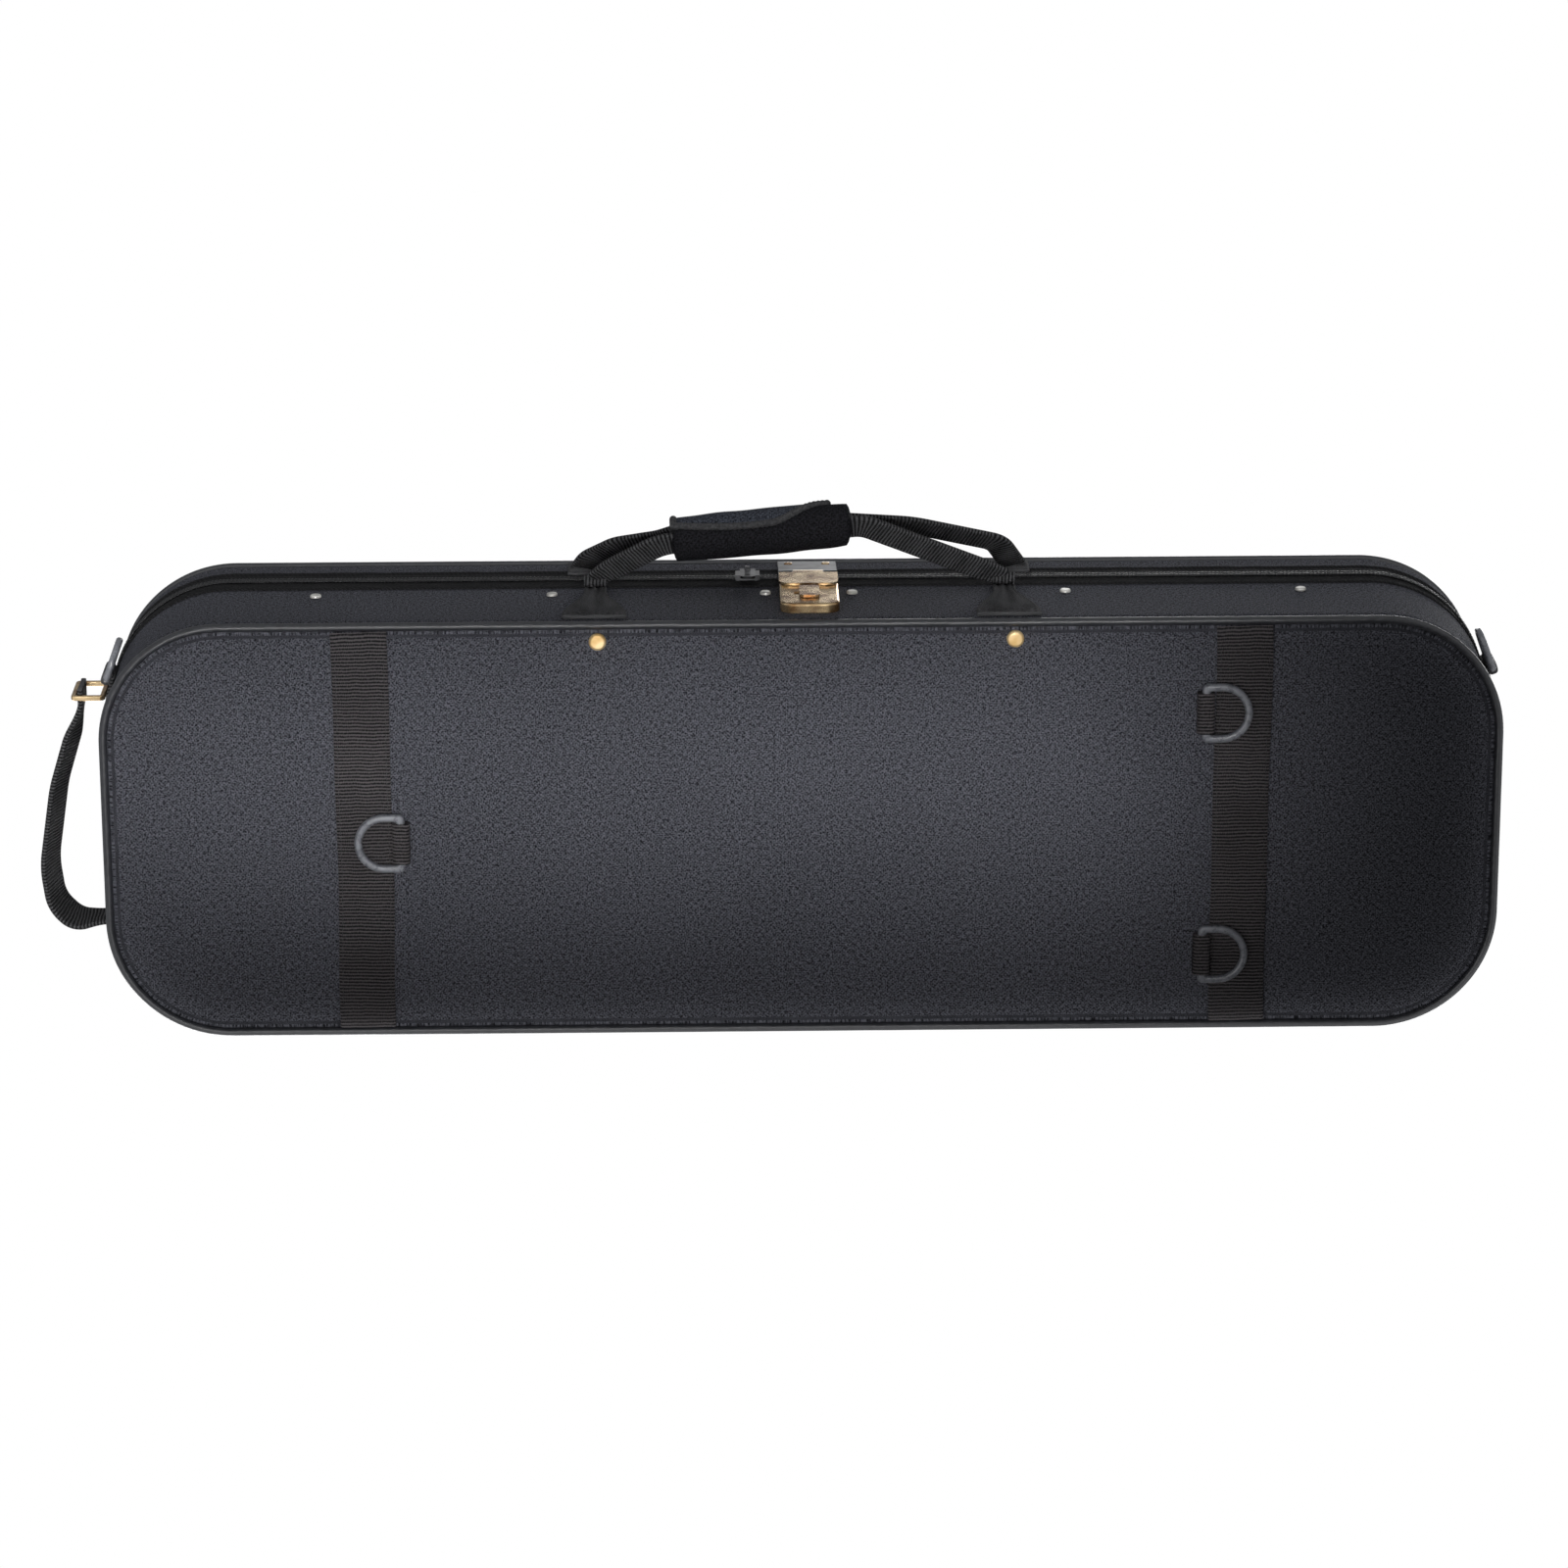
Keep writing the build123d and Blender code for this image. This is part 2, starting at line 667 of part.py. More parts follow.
# Ring tabs and D-rings of the underside: tabs at the bands' inner edges, rings over the bands
tab_x = band_x - band_width / 2 - layer_gap - pack_tab_length / 2
pack_axis_out = layer_gap + band_thickness + 0.4 + pack_ring_wire / 2
pack_seats = {
    "pack_ring_left": Plane(origin=(-tab_x, left_ring_y, 0), x_dir=(-1, 0, 0), z_dir=(0, 0, -1)),
    "pack_ring_front": Plane(origin=(tab_x, front_ring_y, 0), x_dir=(1, 0, 0), z_dir=(0, 0, -1)),
    "pack_ring_rear": Plane(origin=(tab_x, rear_ring_y, 0), x_dir=(1, 0, 0), z_dir=(0, 0, -1)),
}
with BuildPart() as pack_ring_tabs:
    for seat in pack_seats.values():
        add(ring_tab(seat, pack_axis_out, pack_tab_length, pack_tab_width, rest_height, pack_ring_wire))
keep(pack_ring_tabs, "pack_ring_tabs")
for name, seat in pack_seats.items():
    with BuildPart() as pack_ring:
        add(d_ring(seat, pack_axis_out, pack_ring_width, pack_ring_reach, pack_ring_wire))
    keep(pack_ring, name)

# Brass domes near the underside's front edge, under the handle tabs
dome_y = case_width / 2 - dome_inset
with BuildPart() as handle_domes:
    add(heads(downward, [(x, dome_y) for x in dome_places], dome_radius, dome_height))
keep(handle_domes, "handle_domes")

# Wall rivets: a row of small heads on the front wall, spaced from the latch
with BuildPart() as wall_rivets:
    places = [(x, wall_rivet_z) for x in wall_rivet_places]
    add(heads(latch_wall, places, wall_rivet_radius, wall_rivet_height))
keep(wall_rivets, "wall_rivets")

# Front handle tabs: webbing sewn to the base's front wall, gathered toward the strap
with BuildPart() as front_handle_tabs:
    with BuildSketch(front_wall.offset(layer_gap)):
        for side in (-1, 1):
            with BuildLine():
                Polyline(
                    (side * handle_tab_x - handle_tab_foot / 2, handle_tab_low),
                    (side * handle_tab_x + handle_tab_foot / 2, handle_tab_low),
                    (side * handle_tab_x + handle_tab_foot / 2, handle_tab_low + handle_hem),
                    (side * handle_tab_x + handle_tab_neck / 2, handle_tab_high),
                    (side * handle_tab_x - handle_tab_neck / 2, handle_tab_high),
                    (side * handle_tab_x - handle_tab_foot / 2, handle_tab_low + handle_hem),
                    close=True,
                )
            make_face()
    extrude(amount=webbing_thickness)
keep(front_handle_tabs, "front_handle_tabs")

# Handle straps: each is a flat webbing loop in a plane that leans from its pivot to the grip
front_pivot_out = webbing_thickness + layer_gap + moving_gap + strap_root_radius
rear_pivot_out = webbing_thickness + layer_gap + moving_gap + rear_strap_thickness / 2


def leaning_plane(pivot_out, pivot_z, grip_line_out, grip_line_z):
    """The plane through a handle's pivot axis and its grip line, y outward along it."""
    across = Vector(0, pivot_out - grip_line_out, grip_line_z - pivot_z)
    plane = Plane(
        origin=(0, front - pivot_out, pivot_z), x_dir=(1, 0, 0), z_dir=Vector(1, 0, 0).cross(across)
    )
    return plane, across.length


wrap_rise = (wrap_right - wrap_left) * tan(radians(wrap_slope)) / 2


def front_strap(thickness, width):
    """The front strap; a little larger, it is also the tunnel through the wrap."""
    seat, reach = leaning_plane(front_pivot_out, front_pivot_z, grip_out, grip_z)
    past_wrap = 6
    climb = wrap_rise + past_wrap * tan(radians(wrap_slope))
    with BuildPart() as strap:
        with BuildSketch(seat.offset(-thickness / 2)):
            with BuildLine():
                FilletPolyline(
                    (-handle_tab_x, 0),
                    (-handle_tab_x + 7, reach * 0.2),
                    (wrap_left - past_wrap, reach - strap_under - climb),
                    (wrap_right + past_wrap, reach - strap_under + climb),
                    (handle_tab_x - 12, reach * 0.18),
                    (handle_tab_x, 0),
                    radius=[8, 30, 18, 14],
                )
            trace(line_width=width)
            Rectangle(case_length, 2 * reach, align=(Align.CENTER, Align.MIN), mode=Mode.INTERSECT)
            for side in (-1, 1):
                for wing in (-1, 1):
                    with Locations((side * handle_tab_x + wing * (handle_tab_neck / 2 + width), 0)):
                        Rectangle(2 * width, strap_root_radius + 2, mode=Mode.SUBTRACT)
        extrude(amount=thickness)
    return strap.part


with BuildPart() as front_handle_strap:
    add(front_strap(strap_thickness, strap_width))
    for side in (-1, 1):
        with BuildSketch(Plane.YZ.offset(side * handle_tab_x)):
            with Locations((front - front_pivot_out, front_pivot_z)):
                Circle(strap_root_radius)
        extrude(amount=handle_tab_neck / 2, both=True)
keep(front_handle_strap, "front_handle_strap")

# Handle wrap: a padded sleeve round the front strap, which climbs toward its right end
grip_seat, grip_reach = leaning_plane(front_pivot_out, front_pivot_z, grip_out, grip_z)
wrap_start = grip_seat.from_local_coords((wrap_left, grip_reach - wrap_rise, 0))
wrap_end = grip_seat.from_local_coords((wrap_right, grip_reach + wrap_rise, 0))
with BuildPart() as handle_wrap:
    with BuildSketch(Plane(origin=wrap_start, z_dir=wrap_end - wrap_start)):
        Circle(wrap_radius)
    extrude(amount=(wrap_end - wrap_start).length)
    fillet(handle_wrap.edges(), 3)
    add(front_strap(strap_thickness + 2 * layer_gap, strap_width + 2 * layer_gap), mode=Mode.SUBTRACT)
keep(handle_wrap, "handle_wrap")

# Rear handle tabs and strap, on the lid: the strap passes over the wrap
with BuildPart() as rear_handle_tabs:
    with BuildSketch(front_wall.offset(layer_gap)):
        for side in (-1, 1):
            with Locations((side * rear_handle_x, rear_pivot_z - 4)):
                Rectangle(rear_tab_width, rear_tab_high - rear_pivot_z + 4, align=(Align.CENTER, Align.MIN))
    extrude(amount=webbing_thickness)
keep(rear_handle_tabs, "rear_handle_tabs")

with BuildPart() as rear_handle_strap:
    seat, reach = leaning_plane(rear_pivot_out, rear_pivot_z, rear_grip_out, rear_grip_z)
    with BuildSketch(seat.offset(-rear_strap_thickness / 2)):
        with BuildLine():
            FilletPolyline(
                (-rear_handle_x, 0),
                (-rear_handle_x + 4, reach * 0.22),
                (-rear_handle_x + 20, reach * 0.5),
                (wrap_left - 6, reach * 0.64),
                (wrap_left + 24, reach),
                (wrap_right - 8, reach),
                (wrap_right + 34, reach * 0.9),
                (rear_handle_x - 10, reach * 0.5),
                (rear_handle_x, 0),
                radius=[14, 16, 30, 30, 60, 60, 14],
            )
        trace(line_width=rear_strap_width)
        Rectangle(case_length, 2 * reach, align=(Align.CENTER, Align.MIN), mode=Mode.INTERSECT)
    extrude(amount=rear_strap_thickness)
keep(rear_handle_strap, "rear_handle_strap")

# End strips: webbing round the front corners, with a tunnel tab for each shoulder ring
strip_out = layer_gap + band_thickness
shoulder_axis_out = 0.4 + shoulder_ring_wire / 2
shoulder_tab_height = shoulder_axis_out + shoulder_ring_wire / 2 + 1.1


def shoulder_seat(side):
    """The strip's outer face at the shoulder ring, x along the corner toward the front."""
    turn = radians(shoulder_angle)
    radius = corner_radius + strip_out
    middle = (side * (case_length / 2 - corner_radius), front + corner_radius)
    return Plane(
        origin=(middle[0] + side * radius * cos(turn), middle[1] - radius * sin(turn), strip_z),
        x_dir=(-side * sin(turn), -cos(turn), 0),
        z_dir=(side * cos(turn), -sin(turn), 0),
    )


for name, side, rear_y in (("end_strip_left", -1, left_strip_rear_y), ("end_strip_right", 1, right_strip_rear_y)):
    with BuildPart() as end_strip:
        with BuildSketch(Plane.XY.offset(strip_z - strip_width / 2)):
            plan(-strip_out)
            plan(-layer_gap, mode=Mode.SUBTRACT)
            with Locations((side * case_length / 2, (strip_front_y + rear_y) / 2)):
                Rectangle(case_length / 2, rear_y - strip_front_y, mode=Mode.INTERSECT)
        extrude(amount=strip_width)
        add(
            ring_tab(
                shoulder_seat(side).offset(-shoulder_tab_sunk), shoulder_axis_out + shoulder_tab_sunk,
                shoulder_tab_length, shoulder_tab_width, shoulder_tab_height + shoulder_tab_sunk,
                shoulder_ring_wire,
            )
        )
    keep(end_strip, name)

for name, side in (("shoulder_ring_left", -1), ("shoulder_ring_right", 1)):
    with BuildPart() as shoulder_ring:
        add(
            d_ring(
                shoulder_seat(side), shoulder_axis_out, shoulder_ring_width, shoulder_ring_reach,
                shoulder_ring_wire,
            )
        )
    keep(shoulder_ring, name)

# End loop: a flat metal loop on the strip, and the end handle strap that passes through it
end_face = -case_length / 2 - strip_out


def strip_face_x(y):
    """X of the left strip's outer face where it runs round a corner."""
    along = abs(y) - (case_width / 2 - corner_radius)
    return -(case_length / 2 - corner_radius) - sqrt((corner_radius + strip_out) ** 2 - along**2)


loop_inner = strip_face_x(end_loop_y + end_loop_wire / 2) - layer_gap
strap_foot_x = strip_face_x(end_strap_foot_y - end_strap_thickness / 2) - 2 * layer_gap
strap_middle = end_face - end_strap_out
loop_outer = strap_middle - end_strap_thickness / 2 - moving_gap - end_loop_wire
with BuildPart() as end_loop:
    with BuildSketch(Plane.XZ.offset(-end_loop_y - end_loop_wire / 2)):
        with Locations(((loop_inner + loop_outer) / 2, strip_z)):
            RectangleRounded(loop_inner - loop_outer, end_strap_width + 2 * end_loop_wire + 2, 3)
            Rectangle(
                loop_inner - loop_outer - 2 * end_loop_wire, end_strap_width + 2, mode=Mode.SUBTRACT
            )
    extrude(amount=end_loop_wire)
    fillet(end_loop.edges().filter_by(Axis.Y, reverse=True), 0.9)
keep(end_loop, "end_loop")

with BuildPart() as end_handle_strap:
    with BuildSketch(Plane.XY.offset(strip_z - end_strap_width / 2)):
        with BuildLine():
            FilletPolyline(
                (strap_middle, end_loop_y - 4),
                (strap_middle, end_loop_y + 6),
                (end_face - end_strap_bow + 7.5, -12),
                (end_face - end_strap_bow, 36),
                (end_face - end_strap_bow + 3, end_strap_foot_y - 9),
                (end_face - end_strap_bow + 14.5, end_strap_foot_y + 2.5),
                (strap_foot_x, end_strap_foot_y),
                radius=[8, 90, 40, 12, 12],
            )
        trace(line_width=end_strap_thickness)
    extrude(amount=end_strap_width)
keep(end_handle_strap, "end_handle_strap")

# End rivet: a brass dome through the left strip
left_wall = Plane(origin=(end_face, 0, 0), x_dir=(0, -1, 0), z_dir=(-1, 0, 0))
with BuildPart() as end_rivet:
    add(heads(left_wall, ((-end_rivet_y, strip_z),), end_rivet_radius, dome_height))
keep(end_rivet, "end_rivet")

# Piano hinge: two leaves on the spine wall whose knuckles take turns on one pin
hinge_axis_y = rear + hinge_out
knuckle_length = hinge_length / hinge_knuckles
knuckle_gap = 2 * moving_gap


def hinge_leaf(upward, first):
    """One leaf; upward is 1 for the lid's, -1 for the base's, first is its first knuckle."""
    edge = seam + upward * (knuckle_radius + moving_gap)
    with BuildPart() as leaf:
        with BuildSketch(rear_wall.offset(layer_gap)):
            with Locations((0, (edge + seam + upward * leaf_reach) / 2)):
                Rectangle(hinge_length, leaf_reach - knuckle_radius - moving_gap)
        extrude(amount=leaf_thickness)
        for count in range(first, hinge_knuckles, 2):
            middle = -hinge_length / 2 + (count + 0.5) * knuckle_length
            with BuildSketch(Plane.YZ.offset(middle)):
                with Locations((hinge_axis_y, seam)):
                    Circle(knuckle_radius)
                with Locations((rear + layer_gap + leaf_thickness / 2, seam + upward * leaf_reach / 4)):
                    Rectangle(leaf_thickness, leaf_reach / 2)
                with Locations((hinge_axis_y, seam)):
                    Circle(hinge_pin_radius + pin_clearance, mode=Mode.SUBTRACT)
            extrude(amount=(knuckle_length - knuckle_gap) / 2, both=True)
    return leaf


keep(hinge_leaf(-1, 0), "hinge_leaf_base")
keep(hinge_leaf(1, 1), "hinge_leaf_lid")

with BuildPart() as hinge_pin:
    with BuildSketch(Plane.YZ):
        with Locations((hinge_axis_y, seam)):
            Circle(hinge_pin_radius)
    extrude(amount=hinge_length / 2, both=True)
keep(hinge_pin, "hinge_pin")

screw_step = hinge_length / screw_count
leaf_face = rear_wall.offset(layer_gap + leaf_thickness)
for name, upward in (("hinge_screws_base", -1), ("hinge_screws_lid", 1)):
    with BuildPart() as hinge_screws:
        screw_z = seam + upward * leaf_reach * 0.62
        places = [(screw_step * (count + 0.5) - hinge_length / 2, screw_z) for count in range(screw_count)]
        add(heads(leaf_face, places, screw_radius, screw_height))
    keep(hinge_screws, name)

# Latch: back plate and pressed lock case on the base's front wall
with BuildPart() as latch_back_plate:
    with BuildSketch(latch_wall.offset(layer_gap)) as plate_outline:
        with Locations((0, (lock_low + lock_high) / 2)):
            Rectangle(2 * latch_half, lock_high - lock_low)
        fillet(plate_outline.vertices().group_by(Axis.Y)[0], lock_corner)
    extrude(amount=back_plate_thickness)
keep(latch_back_plate, "latch_back_plate")

lock_back = 2 * layer_gap + back_plate_thickness
thumb_stem = 5
stem_low = thumb_low + 8
stem_high = thumb_high - 8
outward = Axis(latch_wall.origin, latch_wall.z_dir)
with BuildPart() as latch_case:
    with BuildSketch(latch_wall.offset(lock_back)) as case_outline:
        with Locations((0, (lock_low + lock_high) / 2)):
            Rectangle(2 * latch_half, lock_high - lock_low)
        fillet(case_outline.vertices().group_by(Axis.Y)[0], lock_corner)
        fillet(case_outline.vertices().group_by(Axis.Y)[-1], 2)
    extrude(amount=lock_out - lock_back)
    fillet(latch_case.edges().group_by(outward)[-1], 1.5)
    with BuildSketch(latch_wall.offset(lock_back)) as hollow:
        with Locations((0, (lock_low + lock_high) / 2)):
            Rectangle(2 * (latch_half - lock_wall), lock_high - lock_low - 2 * lock_wall)
        fillet(hollow.vertices().group_by(Axis.Y)[0], lock_corner - lock_wall)
    extrude(amount=lock_out - lock_back - lock_wall, mode=Mode.SUBTRACT)
    with BuildSketch(latch_wall.offset(lock_back)):
        with Locations((0, staple_low - 3)):
            Rectangle(2 * staple_half + 3, lock_high, align=(Align.CENTER, Align.MIN))
        with Locations((-thumb_travel / 2, (stem_low + stem_high) / 2)):
            Rectangle(thumb_stem + thumb_travel + 0.6, stem_high - stem_low + 0.6)
    extrude(amount=lock_out, mode=Mode.SUBTRACT)
keep(latch_case, "latch_case")

# Thumb slide: the piece under the thumb, with its bolt inside the case
bolt_back = 2.6
bolt_left = thumb_travel + moving_gap + lock_wall - latch_half
bolt_tip = -staple_half - 0.6
bolt_middle = (staple_low + staple_high) / 2
with BuildPart() as latch_thumb:
    with BuildSketch(latch_wall.offset(bolt_back)):
        with Locations((bolt_left, stem_low)):
            Rectangle(thumb_stem / 2 - bolt_left, stem_high - stem_low, align=(Align.MIN, Align.MIN))
            Rectangle(
                thumb_stem, bolt_middle + bolt_height / 2 - stem_low, align=(Align.MIN, Align.MIN)
            )
        with Locations((bolt_left, bolt_middle)):
            Rectangle(bolt_tip - bolt_left, bolt_height, align=(Align.MIN, Align.CENTER))
    extrude(amount=bolt_thickness)
    with BuildSketch(latch_wall.offset(bolt_back)):
        with Locations((0, (stem_low + stem_high) / 2)):
            Rectangle(thumb_stem, stem_high - stem_low)
    extrude(amount=lock_out + moving_gap - bolt_back)
    with BuildSketch(latch_wall.offset(lock_out + moving_gap)):
        with Locations((0, (thumb_low + thumb_high) / 2)):
            RectangleRounded(thumb_width, thumb_high - thumb_low, 2.5)
    extrude(amount=1.4)
keep(latch_thumb, "latch_thumb")

# Hasp: hinged on the lid's plate, with the staple that the bolt locks
barrel_out = barrel_gap + barrel_radius
hasp_outer = barrel_out + barrel_radius
hasp_inner = hasp_outer - hasp_thickness
staple_inner = 1.5
with BuildPart() as latch_hasp:
    with BuildSketch(latch_middle) as knuckle:
        with Locations((front - barrel_out, barrel_z)):
            Circle(barrel_radius)
        with Locations((front - hasp_outer, barrel_z)):
            Rectangle(hasp_thickness, barrel_z - hasp_low - 12, align=(Align.MIN, Align.MAX))
        with Locations((front - barrel_out, barrel_z)):
            Circle(latch_pin_radius + pin_clearance, mode=Mode.SUBTRACT)
    extrude(amount=hasp_knuckle_half - moving_gap / 2, both=True)
    with BuildSketch(latch_wall.offset(hasp_inner)) as tongue:
        with Locations((0, barrel_z - barrel_radius - moving_gap)):
            Rectangle(
                2 * latch_half, barrel_z - barrel_radius - moving_gap - hasp_low, align=(Align.CENTER, Align.MAX)
            )
        fillet(tongue.vertices().group_by(Axis.Y)[0], 6)
    extrude(amount=hasp_thickness)
    with BuildSketch(latch_wall.offset(staple_inner)):
        with Locations((0, (staple_low + staple_high) / 2)):
            Rectangle(2 * staple_half, staple_high - staple_low)
    extrude(amount=hasp_inner - staple_inner)
    with BuildSketch(latch_middle):
        with Locations((front - bolt_back - bolt_thickness / 2, bolt_middle)):
            Rectangle(bolt_thickness + 0.8, bolt_height + 1)
    extrude(amount=staple_half, both=True, mode=Mode.SUBTRACT)
keep(latch_hasp, "latch_hasp")

# Lid plate: bent plate on the lid's front wall that carries the hasp's hinge over the zipper
bridge_out = coil_out + 0.5
foot_low = lid_tape_high + 1
with BuildPart() as latch_lid_plate:
    with BuildSketch(latch_middle) as bent_plate:
        with BuildLine():
            Polyline(
                (front - layer_gap, lid_plate_high),
                (front - layer_gap - lid_plate_thickness, lid_plate_high),
                (front - layer_gap - lid_plate_thickness, foot_low + 1.5),
                (front - bridge_out - lid_plate_thickness, foot_low - 1),
                (front - bridge_out - lid_plate_thickness, barrel_z),
                (front - bridge_out, barrel_z),
                (front - bridge_out, foot_low - 1.5),
                (front - layer_gap, foot_low + 1),
                close=True,
            )
        make_face()
        with Locations((front - barrel_out, barrel_z)):
            Circle(barrel_radius)
            Circle(latch_pin_radius + pin_clearance, mode=Mode.SUBTRACT)
    extrude(amount=latch_half, both=True)
    with BuildSketch(latch_middle):
        with Locations((front - barrel_out, barrel_z)):
            Circle(barrel_radius + moving_gap + lid_plate_thickness)
    extrude(amount=hasp_knuckle_half + moving_gap / 2, both=True, mode=Mode.SUBTRACT)
keep(latch_lid_plate, "latch_lid_plate")

with BuildPart() as latch_pin:
    with BuildSketch(latch_middle):
        with Locations((front - barrel_out, barrel_z)):
            Circle(latch_pin_radius)
    extrude(amount=latch_half, both=True)
keep(latch_pin, "latch_pin")

# Latch rivets on the lid plate's foot
with BuildPart() as latch_rivets:
    rivet_z = (foot_low + lid_plate_high) / 2 + 1
    add(
        heads(
            latch_wall.offset(layer_gap + lid_plate_thickness),
            ((-latch_half * 0.65, rivet_z), (latch_half * 0.65, rivet_z)),
            screw_radius,
            screw_height,
        )
    )
keep(latch_rivets, "latch_rivets")
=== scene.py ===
from math import cos, pi, radians, sin, tan

import bmesh
import bpy
import numpy as np
from mathutils import Matrix, Vector


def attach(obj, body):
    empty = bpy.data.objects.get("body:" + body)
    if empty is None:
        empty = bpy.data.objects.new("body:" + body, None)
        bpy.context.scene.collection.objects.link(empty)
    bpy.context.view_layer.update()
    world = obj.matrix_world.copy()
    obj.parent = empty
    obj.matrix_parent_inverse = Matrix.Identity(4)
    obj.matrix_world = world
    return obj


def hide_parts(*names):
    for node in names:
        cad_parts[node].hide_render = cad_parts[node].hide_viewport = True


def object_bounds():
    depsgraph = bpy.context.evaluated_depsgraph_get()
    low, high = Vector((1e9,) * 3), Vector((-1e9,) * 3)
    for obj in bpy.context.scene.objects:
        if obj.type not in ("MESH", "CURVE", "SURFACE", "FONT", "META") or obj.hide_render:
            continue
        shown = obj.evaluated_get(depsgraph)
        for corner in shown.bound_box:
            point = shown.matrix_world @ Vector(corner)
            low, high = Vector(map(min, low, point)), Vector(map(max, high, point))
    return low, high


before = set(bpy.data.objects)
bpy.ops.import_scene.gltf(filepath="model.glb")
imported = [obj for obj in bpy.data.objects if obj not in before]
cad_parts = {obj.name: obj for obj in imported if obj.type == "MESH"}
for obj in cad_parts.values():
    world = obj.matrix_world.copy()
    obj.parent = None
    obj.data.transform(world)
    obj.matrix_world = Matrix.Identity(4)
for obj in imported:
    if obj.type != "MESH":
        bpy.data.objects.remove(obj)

cad_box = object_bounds()

# The camera stands below the case's underside and a little in front of it, three metres off, and
# looks up: in this view the case seems to stand on its spine with the carrying handle on top.
camera_data = bpy.data.cameras.new("camera")
camera_data.sensor_width = 36
camera_data.lens = 127.13
camera_data.clip_end = 60
camera_place = (-0.05668, -0.97042, -3.01997)
camera_yaw, camera_pitch, camera_roll = radians(0.875), radians(17.35), radians(0.197)
ahead = Vector((sin(camera_yaw) * cos(camera_pitch), sin(camera_pitch), cos(camera_yaw) * cos(camera_pitch)))
level = Vector((cos(camera_yaw), 0, -sin(camera_yaw)))
fall = ahead.cross(level)
camera_right = level * cos(camera_roll) + fall * sin(camera_roll)
camera_down = fall * cos(camera_roll) - level * sin(camera_roll)
camera = bpy.data.objects.new("camera", camera_data)
camera_turn = Matrix((camera_right, -camera_down, -ahead)).transposed().to_4x4()
camera.matrix_world = Matrix.Translation(camera_place) @ camera_turn
bpy.context.scene.collection.objects.link(camera)
bpy.context.scene.camera = camera
bpy.context.scene.view_settings.view_transform = "Standard"

# The stage: a white surround that lights softly, a lamp whose beam fades toward the underside's
# right end and spine, a wide weak one beside it, two for the lid and the spine, and a pale floor
# under the ring tabs that shows only from above and fades to clear far off.
surround = bpy.data.worlds.new("surround")
surround.use_nodes = True
bpy.context.scene.world = surround
world_nodes, world_links = surround.node_tree.nodes, surround.node_tree.links
shown, lighting = world_nodes["Background"], world_nodes.new("ShaderNodeBackground")
for node, colour, strength in ((shown, (1, 1, 1, 1), 1.0), (lighting, (0.95, 0.97, 1.0, 1), 0.24)):
    node.inputs["Color"].default_value = colour
    node.inputs["Strength"].default_value = strength
ray, either = world_nodes.new("ShaderNodeLightPath"), world_nodes.new("ShaderNodeMixShader")
seen = world_nodes.new("ShaderNodeMath")
seen.operation = "MAXIMUM"
for start, end in (
    (ray.outputs["Is Camera Ray"], seen.inputs[0]), (ray.outputs["Is Transmission Ray"], seen.inputs[1]),
    (seen.outputs[0], either.inputs[0]), (lighting.outputs[0], either.inputs[1]),
    (shown.outputs[0], either.inputs[2]),
    (either.outputs[0], world_nodes["World Output"].inputs["Surface"]),
):
    world_links.new(start, end)


def soft_lamp(name, place, aim, size, power, height=None, spread=180):
    """An area lamp at a place, turned to an aim point, hidden from the camera. It is square, or
    of the height given, and spread is the angle that its light keeps within."""
    data = bpy.data.lights.new(name, "AREA")
    data.shape = "RECTANGLE"
    data.size = size
    data.size_y = height or size
    data.energy = power
    data.spread = radians(spread)
    lamp = bpy.data.objects.new(name, data)
    lamp.location = place
    lamp.rotation_euler = (Vector(aim) - Vector(place)).to_track_quat("-Z", "Y").to_euler()
    lamp.visible_camera = False
    bpy.context.scene.collection.objects.link(lamp)


soft_lamp("key_lamp", (-0.12, -0.3, -1.25), (-0.12, -0.046, 0), 0.7, 0.32, 0.105, 14.3)
soft_lamp("fill_lamp", (-0.25, 0.05, -1.15), (0, 0, 0), 0.7, 3.2)
soft_lamp("top_lamp", (0.5, 0.3, 2.2), (0, 0, 0), 1.6, 40)
soft_lamp("back_lamp", (-0.9, 1.6, 1.2), (0, 0, 0.05), 1.2, 25)


class Wire:
    """A number or colour on a shader socket; arithmetic on it adds Math nodes."""

    def __init__(self, paint, socket):
        self.paint = paint
        self.socket = socket

    def _math(self, operation, first, second):
        return self.paint.node("ShaderNodeMath", {"operation": operation}, {0: first, 1: second})

    def __add__(self, other):
        return self._math("ADD", self, other)

    def __sub__(self, other):
        return self._math("SUBTRACT", self, other)

    def __rsub__(self, other):
        return self._math("SUBTRACT", other, self)

    def __mul__(self, other):
        return self._math("MULTIPLY", self, other)

    __radd__ = __add__
    __rmul__ = __mul__


